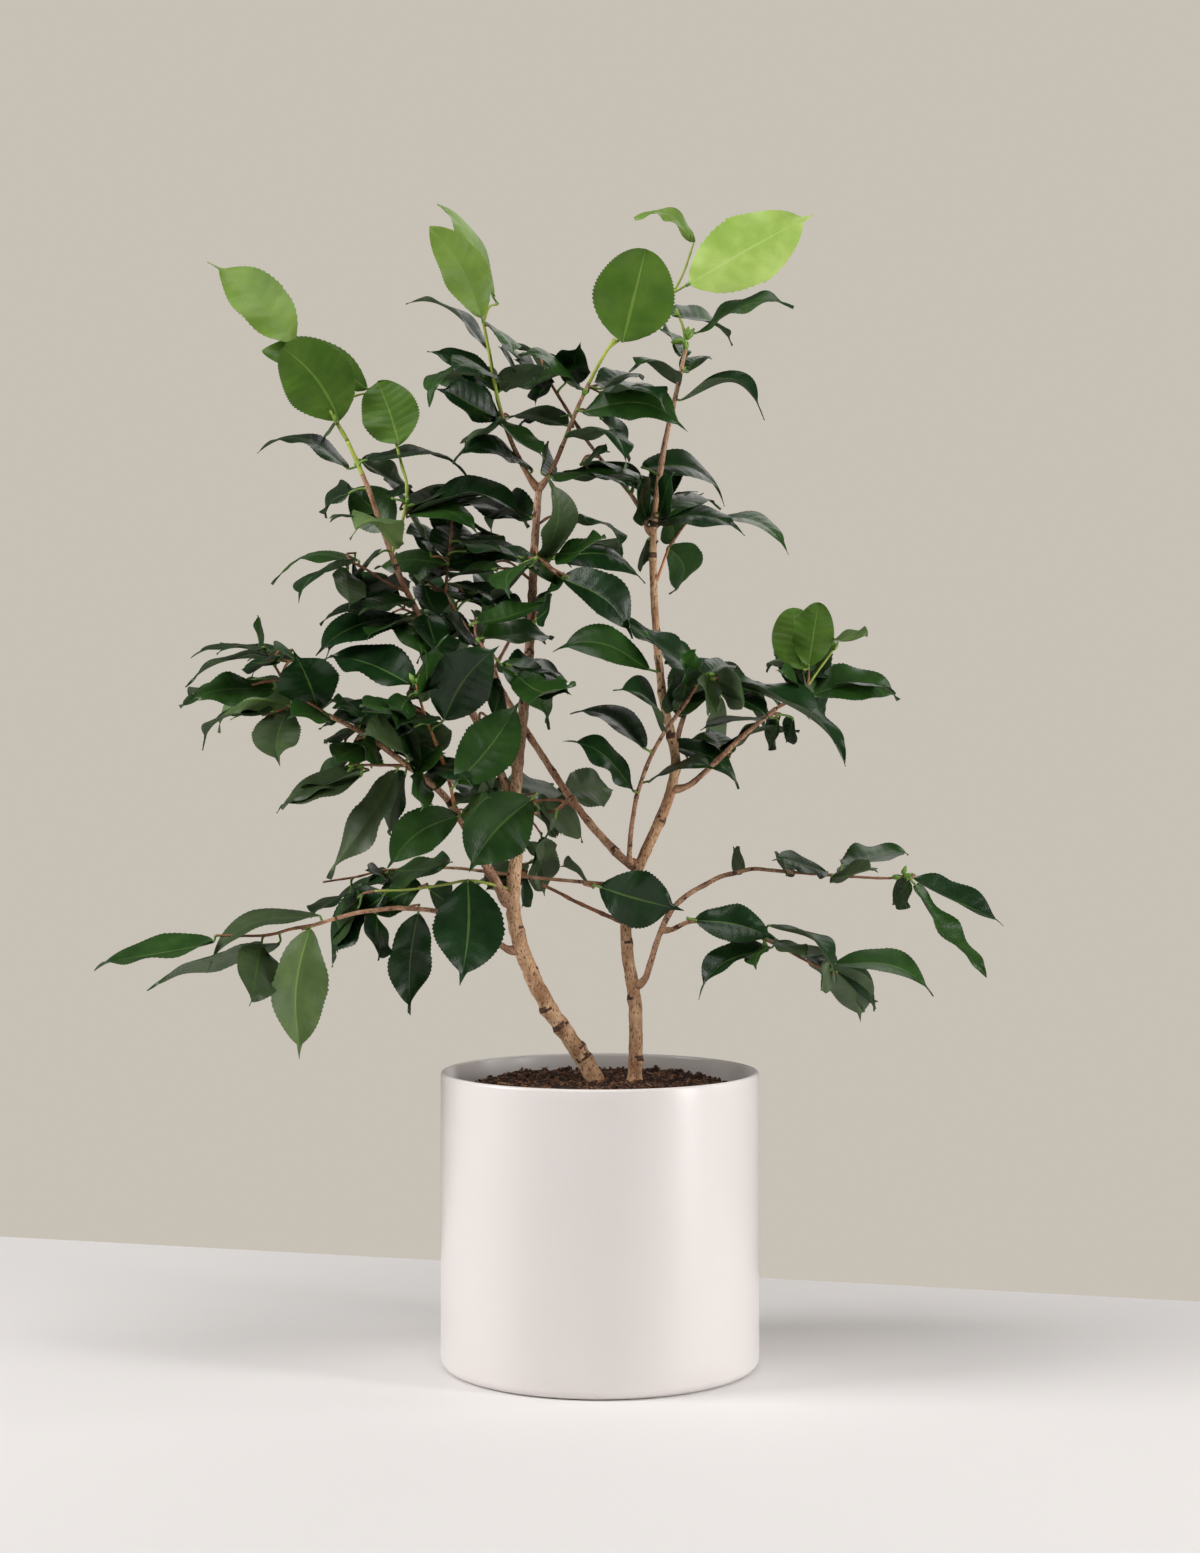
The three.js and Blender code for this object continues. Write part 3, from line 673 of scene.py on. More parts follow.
def blade(foot, tip, width, facing, random, rise, bend, young):
    """The points of one leaf from its foot to its tip. `facing` is the way its upper side looks at
    the middle, `rise` how far it arches that way, and `bend` how far it curves to its side."""
    chord = tip - foot
    length = np.linalg.norm(chord)
    forward = chord / length
    normal = unit(facing - forward * facing.dot(forward))
    side = np.cross(forward, normal)
    t = np.linspace(0, 1, 45)
    rise = rise + random.uniform(-0.01, 0.01)
    nod = random.uniform(0.02, 0.08) * (0.2 if young else 1)
    height = length * (rise * np.sin(np.pi * t**1.15) - nod * np.clip((t - 0.72) / 0.28, 0, 1) ** 2)
    sway = length * bend * np.sin(np.pi * t)
    centre = foot + chord * t[:, None] + normal * height[:, None] + side * sway[:, None]
    ahead, _ = cross_frames(centre)
    turn = random.uniform(-0.35, 0.35) * t**1.5 * (0.3 if young else 1)
    across = np.cos(turn)[:, None] * side + np.sin(turn)[:, None] * normal
    across = across - ahead * (across * ahead).sum(axis=1)[:, None]
    across /= np.linalg.norm(across, axis=1)[:, None]
    up = np.cross(across, ahead)

    u = np.abs(COLUMNS)[None]
    s = STATIONS[:, None]
    s = s + VEIN_SLANT * u * 4 * s * (1 - s)
    centre, across, up = (
        np.stack([np.interp(s, t, line[:, k]) for k in range(3)], axis=2)
        for line in (centre, across, up))
    point, fullness = random.uniform(0.08, 0.14), 0.66
    if young and length < LONG_LEAF:
        point, fullness = 0, 0.5 if width > BLUNT_SHAPE * length else 0.72
    half = width / 2 * outline(s, point, fullness)
    tooth = 1 + TOOTH_DEPTH * EDGE_TOOTH[:, None] * (u == 1)
    slim = np.where(u == RIB_HALF, 1.6 - 1.2 * s, 1)
    reach = half * COLUMNS * tooth * slim
    fold = random.uniform(0.03, 0.14) if young else random.uniform(0.12, 0.5)
    recurve = random.uniform(0.08, 0.3) * (0.4 if young else 1)
    lift = half * (fold * (u - 0.5) - recurve * (u**2 - 0.33))
    wave = random.uniform(0.02, 0.09) * width * np.sin(2 * np.pi * (2.3 * s + random.random()))
    lift = lift + wave * u**2.5 * np.where(COLUMNS < 0, 1, random.uniform(-1, 1))
    between_veins = ((STATIONS - tooth_at[1]) / (3 * TOOTH_STEP))[:, None]
    puff = VEIN_PUFF if young else 0.8 * VEIN_PUFF
    lift = lift + puff * (np.abs(np.sin(np.pi * between_veins)) - 0.6) * 4 * u * (1 - u)
    on_rib = u <= RIB_HALF
    thick = LEAF_THICKNESS * (1 - 0.6 * u)
    top = lift + thick / 2 - on_rib * 0.00025
    under = lift - thick / 2 - on_rib * 0.0006 * (1 - 0.8 * s)
    upper = centre + across * reach[..., None] + up * top[..., None]
    lower = centre + across * reach[..., None] + up * under[..., None]
    return np.concatenate([upper, lower[:, ::-1]], axis=1).reshape(-1, 3)


ring_face, column_face = np.divmod(np.arange((len(STATIONS) - 1) * AROUND), AROUND)
end_cap = np.array([[i, i + 1, AROUND - 2 - i, AROUND - 1 - i] for i in range(len(COLUMNS) - 1)])
last_ring = (len(STATIONS) - 1) * AROUND
BLADE_FACES = as_quads(len(STATIONS), AROUND)
# The upper side's faces start a corner later, so that both sides split along the same diagonal.
is_upper = column_face < len(COLUMNS)
BLADE_FACES[is_upper] = np.roll(BLADE_FACES[is_upper], 1, axis=1)
BLADE_FACES = np.concatenate([BLADE_FACES, turned_over(end_cap), last_ring + np.roll(end_cap, 1, axis=1)])
middle = len(COLUMNS) // 2 - 1
BLADE_PART = np.where(column_face < len(COLUMNS) - 1, TOP, UNDER)
has_vein = (ring_face % 6 == 0) & (ring_face > 5) & (ring_face < 46)
BLADE_PART[(BLADE_PART == TOP) & has_vein] = VEIN
BLADE_PART[(column_face == middle) | (column_face == len(COLUMNS) + middle)] = RIB
BLADE_PART = np.concatenate([BLADE_PART, np.full(2 * len(end_cap), RIB)])
edge_columns = [0, len(COLUMNS) - 1, len(COLUMNS), AROUND - 1]
BLADE_RIM = np.tile(np.isin(np.arange(AROUND), edge_columns), len(STATIONS))


def leaf_finish(name, light, dark, roughness, specular):
    material = finish_of(name, light, dark, 0.022, roughness, 0.00022, 0.0013, 0.06)
    material.node_tree.nodes["Principled BSDF"].inputs["Specular IOR Level"].default_value = specular
    return material


leaf_materials = [
    leaf_finish("leaf_dark", (0.0105, 0.043, 0.0090), (0.0045, 0.022, 0.0045), 0.29, 0.34),
    leaf_finish("leaf_middle", (0.026, 0.080, 0.011), (0.013, 0.048, 0.007), 0.32, 0.33),
    leaf_finish("leaf_olive", (0.062, 0.100, 0.036), (0.038, 0.068, 0.023), 0.42, 0.35),
    # A paler young green. On one dark leaf of the upper left arch it is a painted sheen.
    leaf_finish("leaf_fresh_and_sheen", (0.125, 0.200, 0.060), (0.078, 0.142, 0.042), 0.42, 0.35),
    leaf_finish("leaf_new", (0.098, 0.198, 0.022), (0.062, 0.148, 0.012), 0.42, 0.3),
    leaf_finish("leaf_new_pale", (0.200, 0.325, 0.052), (0.145, 0.258, 0.038), 0.42, 0.3),
    leaf_finish("leaf_new_bright", (0.460, 0.640, 0.160), (0.330, 0.520, 0.095), 0.33, 0.45),
    leaf_finish("leaf_under", (0.105, 0.148, 0.078), (0.070, 0.108, 0.052), 0.55, 0.25),
    leaf_finish("leaf_under_new", (0.230, 0.345, 0.110), (0.180, 0.285, 0.085), 0.55, 0.25),
    leaf_finish("rib", (0.085, 0.160, 0.036), (0.055, 0.115, 0.025), 0.45, 0.3),
    leaf_finish("rib_new", (0.185, 0.315, 0.050), (0.145, 0.262, 0.038), 0.45, 0.3),
    leaf_finish("rib_bright", (0.500, 0.670, 0.210), (0.430, 0.610, 0.160), 0.45, 0.3),
]
# The fresh shade is a paler young green, and also a painted sheen on one dark leaf of the upper left arch.
DARK, MIDDLE, OLIVE, FRESH_AND_SHEEN, NEW, PALE, BRIGHT = range(7)
# For each shade of leaf, the finishes of its upper side, its underside, its rib and its side veins.
LEAF_FINISHES = np.array([
    (0, 7, 9, 0), (1, 7, 9, 1), (2, 7, 9, 2), (3, 8, 10, 3), (4, 8, 10, 4), (5, 8, 10, 5), (6, 8, 11, 6)])

stalks, buds = Joined(), Joined()
leaves = {}


def grow_stalk(place, out, foot, forward):
    """A short curved stalk from the wood into a leaf's foot."""
    reach = np.linalg.norm(foot - place)
    bend = [place, place + out * reach * 0.35, foot - forward * reach * 0.4, foot + forward * 0.0015]
    t = np.linspace(0, 1, 7)[:, None]
    route = ((1 - t) ** 3 * bend[0] + 3 * t * (1 - t) ** 2 * bend[1]
             + 3 * t**2 * (1 - t) * bend[2] + t**3 * bend[3])
    stalks.add(*tube(route, STALK_RADIUS * np.array([1.6, 1.2, 1, 0.95, 0.95, 1, 0.9]), 8))


def grow_bud(place, direction, length):
    """A plump pointed bud, wrapped in a few scales."""
    direction = unit(direction)
    t = np.linspace(0, 1, 9)
    radii = length * 0.24 * np.sin(np.pi * (0.12 + 0.88 * t) ** 0.8) ** 0.8 + 0.0001
    scales = 1 + 0.09 * np.sin(3 * np.arange(8) * np.pi / 4 + 9 * t[:, None])
    buds.add(*tube(place + direction * length * t[:, None], radii, 8, scales))


# Clusters of fat buds: where they look to be (x and z in millimetres), how many, and their length.
BUD_CLUSTERS = [
    (-42, 631, 2, 8), (85, 543, 3, 7), (84, 534, 3, 7), (70, 806, 3, 10), (64, 797, 3, 7),
    (185, 560, 4, 6), (240, 382, 3, 9), (230, 380, 2, 8), (-144, 533, 2, 10), (-16, 762, 2, 7),
    (-206, 741, 1, 6), (-156, 676, 2, 6), (22, 682, 2, 6), (172, 380, 2, 6), (-196, 468, 2, 6),
]


def grow_leaf(zone, points, foot, forward, shade, wood_at):
    """Hangs a blade on the plant: a side twig where the wood is far, then a stalk into its foot."""
    place, growth = wood_at
    if np.linalg.norm(foot - place) > SIDE_TWIG_PAST:
        stop = foot - forward * STALK_LENGTH * 0.8
        middle_of = (place + stop) / 2 + growth * np.linalg.norm(stop - place) * 0.15
        place = grow_twig([place, middle_of, stop], 0.0011, 0.0008, RIPE if shade <= OLIVE else SOFT)[-1]
        growth = unit(place - middle_of)
    away = foot - place
    out = unit(unit(away) + growth * 0.8) if np.linalg.norm(away) > 1e-4 else forward
    grow_stalk(place, out, foot, forward)
    finish = LEAF_FINISHES[shade][BLADE_PART]
    leaves.setdefault(zone, Joined()).add(points, BLADE_FACES, finish, BLADE_RIM)


def facing_for(forward, turn):
    """The way the upper side looks: up at a turn of 0, and to the front of the plant at 90 degrees.
    Also the direction across the leaf as it is seen, which points up, or to the right if it hangs."""
    front = np.array([0, -1.0, 0])
    front = front - forward * front.dot(forward)
    if np.linalg.norm(front) < 0.15:
        front = np.cross(forward, [0, 0, 1.0])
    front = unit(front)
    up = np.cross(forward, front)
    if up[2] < -0.2 or (abs(up[2]) <= 0.2 and up[0] < 0):
        up = -up
    return up * math.cos(turn) + front * math.sin(turn), up


# Which stretches of the view from the front are closed by leaves, in squares of CELL millimetres.
CELL = 3
CELLS = 330
closed = np.zeros((CELLS, CELLS), bool)


def cells(points):
    seen = ((looks_at(points) + [CELL * CELLS / 2, 0]) / CELL).astype(int)
    return np.clip(seen[:, 0], 0, CELLS - 1), np.clip(seen[:, 1], 0, CELLS - 1)


shown = []                  # the leaves that face the front, for those that grow behind them
zone_of = {}                # the foliage piece that each mass belongs to


def wood_under(x, z, low, high):
    """The place on the wood that a leaf whose foot looks to be at x, z springs from, and the direction
    of growth there. Wood that grows towards the foot is preferred, and wood between the depths `low`
    and `high`."""
    nearest = None
    for route, _ in wood:
        away = [x, z] - looks_at(route)
        gaps = np.linalg.norm(away, axis=1)
        growing = np.gradient(looks_at(route), axis=0)
        ahead_by = (away * growing).sum(axis=1) / (gaps * np.linalg.norm(growing, axis=1) + 0.001)
        gaps = gaps * (1.35 - 0.35 * ahead_by)
        gaps = gaps + 250 * np.abs(route[:, 1] - np.clip(route[:, 1], low, high))
        k = int(np.argmin(gaps))
        if nearest is None or gaps[k] < nearest[0]:
            nearest = (gaps[k], route[k], growth_at(route, k))
    return nearest[1:]


def spray(zone, mass, leads, shade, seed, deeper=0):
    """The leaves of one mass that face the front. Each is x, z of its foot, x, z of its tip, how wide
    it looks (less than 0 if it shows its underside) and how far it arches up, or to the right if it
    hangs, in percent of its length. A shade of its own may follow. All are `deeper` further back."""
    zone_of.setdefault(mass, zone)
    low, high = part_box(mass)
    inset = 0.2 * (high.y - low.y)
    for i, (x0, z0, x1, z1, seen_width, arch, *own) in enumerate(leads):
        random = np.random.default_rng(1000 * seed + i)
        own_shade = own[0] if own else shade
        if own_shade == DARK and random.random() < 0.3:
            own_shade = MIDDLE
        wood_at = wood_under(x0, z0, low.y, high.y)
        depth = wood_at[0][1] + random.uniform(-0.008, 0.006)
        depth = np.clip(depth, low.y + inset, high.y - inset) + deeper
        foot = place_at(x0, z0, depth)
        seen = math.hypot(x1 - x0, z1 - z0) / 1000
        young = own_shade >= NEW
        full_grown = random.normal(LEAF_LENGTH, LEAF_LENGTH_SPREAD)
        length = seen * 1.03 if young else max(seen * 1.02, min(full_grown, 1.8 * seen + 0.01))
        run = math.sqrt(max(length**2 - seen**2, 0)) * 0.85
        room_front, room_back = depth - low.y, high.y - depth
        to_front = random.random() < 0.15 + 0.7 * room_front / (room_front + room_back)
        tip = place_at(x1, z1, depth + (-run if to_front else run))
        forward = unit(tip - foot)
        width = max(abs(seen_width) / 1000, LEAF_SHAPE * length * random.uniform(0.92, 1.06))
        turn = math.copysign(math.asin(min(1, abs(seen_width) / 1000 / width)), seen_width)
        facing, up = facing_for(forward, turn)
        side = np.cross(forward, facing).dot(up)
        rise, bend = arch / 100 * math.cos(turn), arch / 100 * side
        points = blade(foot, tip, width, facing, random, rise, bend, young)
        out_by = max(0, points[:, 1].max() - cad_box[1][1], cad_box[0][1] - points[:, 1].min())
        if out_by:
            shallower = tip - [0, math.copysign(out_by + 0.004, tip[1] - foot[1]), 0]
            points = blade(foot, shallower, width, facing, random, rise, bend, young)
        grow_leaf(zone, points, foot, forward, own_shade, wood_at)
        closed[cells(points)] = True
        if random.random() < 0.3:
            grow_bud(wood_at[0], wood_at[1] + unit(foot - wood_at[0]) * 0.8, random.uniform(0.0045, 0.007))
        if not young:
            shown.append((zone, mass, foot, tip, wood_at, own_shade))


def fits(points):
    """Whether a leaf stays within the depth that the CAD gives the crown, to 10 millimetres."""
    return cad_box[0][1] - 0.01 < points[:, 1].min() and points[:, 1].max() < cad_box[1][1] + 0.01


def is_hidden(points, least):
    """Whether at least that share of the points has leaves in front of it."""
    return closed[cells(points)].mean() >= least


def grow_behind(number, zone, mass, foot, tip, wood_at, shade):
    """A leaf behind one that faces the front, wherever the leaves in front of it close the view."""
    random = np.random.default_rng(7000 + number)
    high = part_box(mass)[1]
    for _ in range(14):
        deeper = random.uniform(0.018, max(0.03, min(0.085, high.y - foot[1])))
        share = (EYE_BACK + foot[1] + deeper) / (EYE_BACK + foot[1])
        start = foot + (tip - foot) * random.uniform(-0.1, 0.45)
        start = np.array([start[0] * share, foot[1] + deeper, EYE_HEIGHT + (start[2] - EYE_HEIGHT) * share])
        swing = random.uniform(-0.9, 0.9)
        ahead = unit(tip - foot)
        ahead = unit(np.array([
            ahead[0] * math.cos(swing) - ahead[2] * math.sin(swing), random.uniform(-0.4, 0.8),
            ahead[0] * math.sin(swing) + ahead[2] * math.cos(swing)]))
        length = random.normal(LEAF_LENGTH * 0.92, LEAF_LENGTH_SPREAD)
        facing = unit(np.array([random.normal(0, 0.4), random.normal(-0.2, 0.5), 1.0]))
        points = blade(start, start + ahead * length, LEAF_SHAPE * length, facing, random,
                       random.uniform(0.02, 0.14), 0, False)
        way = np.linspace(wood_at[0], start, 8)
        if fits(points) and is_hidden(points, 0.93) and is_hidden(way, 0.6):
            grow_leaf("behind", points, start, ahead, shade, wood_at)
            return


def fill_out(mass, count, seed):
    """Leaves by rule alone: a shoot along the mass from the nearest wood, and leaves round it in
    turn, each where the leaves in front already close the view."""
    random = np.random.default_rng(5000 + seed)
    line, _ = limb_line(mass)
    if nearest_wood(line[0])[0] > nearest_wood(line[-1])[0]:
        line = line[::-1]
    line = line[: max(3, int(len(line) * 0.85))]
    route = grow_twig(np.vstack([nearest_wood(line[0])[1], line[1::2]]), 0.0014, 0.0009)
    _, frames = cross_frames(route)
    angle = random.uniform(0, 2 * np.pi)
    for k in range(count):
        at = int((0.2 + 0.8 * (k + 0.5) / count) * (len(route) - 1))
        ahead = growth_at(route, at)
        for _ in range(10):
            angle += LEAF_TURN + random.uniform(-0.3, 0.3)
            outward = frames[at, 0] * math.cos(angle) + frames[at, 1] * math.sin(angle)
            lean = random.uniform(0.7, 1.15)
            droop = [0, 0, random.uniform(-0.35, 0.05)]
            forward = unit(ahead * math.cos(lean) + outward * math.sin(lean) + droop)
            length = random.normal(LEAF_LENGTH * 0.95, LEAF_LENGTH_SPREAD)
            foot = route[at] + forward * STALK_LENGTH
            facing = unit(np.array([random.normal(0, 0.35), random.normal(0, 0.35), 1.0]))
            width = LEAF_SHAPE * length * random.uniform(0.92, 1.05)
            rise = random.uniform(0.03, 0.14)
            points = blade(foot, foot + forward * length, width, facing, random, rise, 0, False)
            if fits(points) and is_hidden(points, 0.9):
                shade = MIDDLE if random.random() < 0.35 else DARK
                grow_leaf("back", points, foot, forward, shade, (route[at], ahead))
                break


spray("new", "new_leaves_left", [
    (-242, 801, -309, 866, 41, 8, PALE), (-205, 741, -250, 799, 56, 8), (-158, 722, -175, 772, 46, 2),
], NEW, 1)
spray("new", "new_leaves_left", [(-183, 766, -266, 796, 36, 10)], NEW, 41, 0.014)
spray("upper_left", "leaves_upper_left", [
    (-198, 703, -269, 721, 14, 20), (-184, 710, -104, 703, 13, 14), (-188, 710, -146, 682, 15, 4, OLIVE),
    (-206, 740, -217, 727, 10, 4, OLIVE),
], DARK, 2)
spray("new", "new_leaves_top_left", [(-93, 822, -134, 894, 36, 8, PALE)], PALE, 3)
spray("new", "new_leaves_top_left", [(-84, 838, -127, 912, 17, 10)], PALE, 42, 0.028)
spray("top", "leaves_left_of_top", [
    (-88, 797, -150, 838, 11, 15), (-88, 817, -67, 794, 9, 6), (-79, 764, -134, 798, 20, 6),
    (-92, 776, -136, 757, 14, 20), (-78, 742, -127, 768, 26, 2), (-80, 744, -42, 713, 13, -3, MIDDLE),
    (-78, 740, -108, 722, 14, 4), (-66, 782, -78, 800, 9, 0), (-53, 702, -110, 718, 16, 14),
    (-76, 772, -118, 784, 16, 8),
], DARK, 4)
spray("top", "leaves_top_centre", [
    (-77, 765, -40, 786, -13, 8), (-14, 766, -62, 796, 12, 10, MIDDLE), (-26, 772, -16, 801, 30, 0),
    (-42, 774, -52, 755, 16, 0), (-26, 737, -76, 743, 18, 10), (-46, 700, -40, 723, 14, 5),
    (-44, 770, -66, 790, 18, 4), (-30, 744, -66, 738, 12, 8),
], DARK, 5)
spray("new", "new_leaf_round", [(18, 803, 36, 876, 64, 0)], NEW, 6)
spray("new", "new_leaf_top_right", [(70, 848, 169, 904, 56, 1)], BRIGHT, 7)
spray("new", "new_leaf_top_middle", [(73, 882, 27, 900, 14, 26)], PALE, 8)
spray("top", "leaves_centre_of_top", [
    (-14, 748, 69, 736, 32, 17), (2, 766, 34, 776, 16, 12), (4, 762, 52, 752, 18, 16),
    (-27, 728, 22, 708, 16, 22), (2, 742, 24, 708, 12, 8), (-38, 696, 46, 690, 14, 14),
    (-12, 708, 6, 718, 14, 6), (-4, 700, 24, 690, 12, 4),
], DARK, 9)
spray("top", "leaves_top_right", [
    (57, 824, 106, 804, 14, 12), (76, 810, 152, 834, 13, 14), (64, 792, 50, 816, 14, 5),
    (69, 779, 88, 791, 14, 12),
], MIDDLE, 10)
spray("top", "leaves_right_of_top", [(62, 769, 24, 783, 12, 16), (62, 757, 130, 744, 13, 35)], DARK, 11)
spray("right", "leaves_right_upper", [
    (33, 704, 100, 676, 23, 21), (38, 661, 114, 654, 18, 12), (40, 664, 96, 676, 20, 14),
    (80, 664, 149, 638, 16, 18), (37, 662, 35, 698, 14, -4), (56, 670, 60, 643, 24, 0, MIDDLE),
    (46, 668, 56, 700, 16, 0), (38, 648, 34, 622, 14, 0),
], DARK, 12)
spray("right", "leaves_right_hanging", [(53, 641, 56, 603, 30, 20)], MIDDLE, 13)
spray("upper_left", "leaves_outer_left", [
    (-163, 657, -198, 690, 38, 0, MIDDLE), (-197, 684, -219, 666, 16, 12), (-178, 664, -212, 665, 10, 4),
    (-158, 641, -196, 650, 9, 28, FRESH_AND_SHEEN), (-190, 631, -258, 613, 11, 18), (-194, 630, -238, 599, 9, 14),
    (-199, 624, -196, 595, 22, 0, OLIVE), (-173, 637, -197, 612, 9, 6), (-122, 628, -178, 625, 23, 8),
    (-150, 610, -200, 606, 20, 4), (-164, 680, -150, 692, 14, 0),
], DARK, 14)
spray("upper_left", "leaves_upper_left_arch", [
    (-121, 633, -109, 664, 38, 0, MIDDLE), (-133, 637, -143, 664, 20, 0, MIDDLE),
    (-151, 668, -56, 663, 19, 23), (-150, 668, -96, 654, 20, 14), (-152, 672, -104, 694, 18, 4),
    (-112, 675, -83, 666, 8, 16), (-54, 665, -88, 650, 18, 26), (-106, 638, -58, 634, 16, 14),
    # The leaf at -103, 600 takes the pale fresh shade as painted sheen: its grey-white look is light
    # glancing off a dark leaf.
    (-120, 627, -74, 626, 20, 8), (-118, 612, -77, 594, 16, 10), (-103, 600, -79, 595, 7, 6, FRESH_AND_SHEEN),
    (-110, 646, -74, 640, 14, 8), (-138, 612, -126, 586, 20, 0), (-120, 622, -146, 612, 12, 2),
    (-84, 624, -120, 618, 8, 4), (-122, 608, -98, 602, 10, 4), (-96, 566, -122, 590, 10, 0),
    (-92, 566, -100, 592, 9, 0),
], DARK, 15)
spray("middle_left", "leaves_left_shelf", [
    (-156, 587, -224, 558, 30, 9), (-158, 584, -140, 554, 22, 8), (-152, 582, -184, 572, 9, 6, MIDDLE),
    (-160, 596, -221, 583, 14, 8), (-136, 588, -122, 550, 28, 0), (-146, 600, -190, 590, 18, 4),
], DARK, 16)
spray("middle_left", "leaves_left_shelf_low", [
    (-147, 533, -219, 556, 30, 8), (-134, 524, -136, 560, 14, 0, MIDDLE),
], DARK, 17)
spray("centre", "leaves_front_left", [
    (-97, 582, -40, 601, 18, -2), (-92, 570, -36, 571, 20, 6, MIDDLE),
    (-51, 631, -72, 603, 21, 18, MIDDLE), (-60, 628, -29, 612, 18, 8, MIDDLE),
    (-123, 505, -80, 563, 46, 8), (-78, 549, -40, 503, 26, 14, MIDDLE),
    (-66, 541, -20, 537, 20, -14, MIDDLE), (-50, 585, -39, 604, 12, -6), (-70, 548, -28, 538, 10, 8),
    (-84, 508, -76, 538, 16, 0), (-50, 530, -24, 528, 16, 0, MIDDLE), (-28, 616, -46, 600, 10, 4),
    (-56, 626, -78, 644, 12, 4),
], DARK, 18)
spray("centre", "leaves_centre_upper", [
    (-46, 629, -36, 693, 24, 12, OLIVE), (-24, 664, 20, 640, 10, 14), (-36, 632, 36, 614, 19, 16),
    (-34, 636, 2, 652, 20, -6, MIDDLE),
], DARK, 19)
spray("centre", "leaves_front_centre", [
    (-30, 617, 26, 570, 29, 15), (39, 545, -36, 562, 25, 17),
], DARK, 20)
spray("centre", "leaves_centre_diagonal", [
    (84, 538, 12, 592, 17, 0), (98, 540, 197, 475, 16, 12), (74, 534, 62, 560, 20, 4),
    # The leads at 88, 538 and 90, 537 make one pale leaf. The olive shade on the first and the pale
    # underside shown by the second stand in for light glancing off its upper side: painted sheen.
    (88, 538, 88, 510, 16, -4, OLIVE), (90, 537, 117, 516, -22, 6), (86, 541, 108, 546, 16, 14),
    (96, 528, 134, 510, 14, 6), (66, 520, 70, 548, 18, 0),
], DARK, 21)
spray("right", "leaves_right_inner", [
    (58, 514, 60, 540, 12, -8, MIDDLE), (64, 509, 96, 524, 12, 16), (134, 507, 79, 500, 7, 4, OLIVE),
    (98, 478, 86, 500, 20, 4, MIDDLE), (99, 479, 128, 500, -10, 8), (140, 505, 131, 483, 12, 0),
    (152, 506, 145, 487, 12, 0), (55, 486, 111, 454, 17, 14), (37, 457, 94, 467, 8, 14),
], DARK, 22)
spray("centre", "leaves_centre_left", [
    (50, 496, 15, 531, 16, 17), (35, 483, -23, 512, 14, 17), (27, 449, -27, 491, 18, 13),
], DARK, 23)
spray("right", "leaves_right_spray", [
    (160, 545, 152, 594, 40, -2, NEW), (164, 548, 172, 598, 32, 0, NEW),
    (170, 524, 146, 574, 16, 8, OLIVE), (160, 548, 130, 546, 12, 14, OLIVE), (166, 525, 237, 524, 26, 13),
    (184, 569, 210, 573, 12, 0, FRESH_AND_SHEEN), (162, 540, 186, 552, 16, 0), (160, 526, 178, 501, 16, 10),
    (158, 524, 142, 546, 14, 6),
], DARK, 24)
spray("right_low", "leaves_right_low_end", [
    (114, 388, 106, 406, -9, -8), (178, 386, 138, 398, 13, 2), (147, 383, 140, 403, 12, 4),
    (182, 382, 214, 390, 10, 0, OLIVE), (190, 391, 243, 404, 12, 4), (246, 382, 319, 346, 13, 1),
    (242, 380, 227, 359, 16, -4),
], DARK, 25)
spray("right_low", "leaves_right_low_hanging", [(248, 376, 308, 306, 14, -4)], DARK, 26)
spray("right_low", "leaves_right_lower_near", [
    (75, 348, 138, 333, 27, 7), (136, 327, 76, 289, 16, 18), (128, 328, 121, 311, 8, 4),
], DARK, 27)
spray("right_low", "leaves_right_lower_far", [
    (134, 344, 187, 304, 12, 18), (184, 314, 263, 292, 16, 15), (184, 312, 205, 270, -30, 6),
    (182, 312, 172, 292, -18, 0), (186, 308, 217, 277, 14, 12), (140, 332, 162, 320, 10, 0, OLIVE),
    (160, 322, 174, 312, 8, 4),
], DARK, 28)
spray("centre", "leaf_centre_single", [(0, 374, 66, 356, 45, -2)], DARK, 29)
spray("centre", "leaves_front_low", [
    (-54, 443, -103, 386, 52, 7, MIDDLE), (-111, 430, -167, 389, 34, 12, MIDDLE),
], DARK, 30)
spray("centre", "leaf_front_middle", [(-113, 456, -63, 521, 42, -4, MIDDLE)], DARK, 31)
spray("behind", "leaves_back_low", [
    (-46, 412, -42, 366, 24, 0), (-58, 392, -84, 380, 16, 8), (-8, 376, -30, 392, -10, 8),
    (-30, 448, -78, 455, 14, 4), (-26, 446, 12, 452, 32, 4), (-50, 442, -12, 409, 28, 8),
    (-48, 398, -56, 412, 14, 0), (-58, 384, -60, 358, 10, 0, DARK), (-48, 436, -32, 414, 12, 0),
    (-62, 386, -90, 372, 20, 4, DARK),
], OLIVE, 32)
spray("middle_left", "leaves_left_middle_tip", [
    (-262, 562, -322, 557, 8, 8), (-252, 556, -327, 533, 9, 14), (-252, 552, -281, 551, 16, 0),
    (-268, 562, -266, 586, 4, 0, MIDDLE), (-256, 530, -328, 521, 22, 6), (-222, 515, -241, 559, 46, 2),
    (-244, 517, -304, 499, 24, 20, FRESH_AND_SHEEN), (-258, 512, -316, 487, 9, 16),
    # The leaf at -246, 514 takes the grey olive shade as painted sheen: its grey-green stands for light
    # falling on its upper side.
    (-246, 514, -252, 471, 36, -8, OLIVE), (-236, 552, -258, 562, 9, 4), (-214, 508, -244, 510, 16, 4),
], DARK, 33)
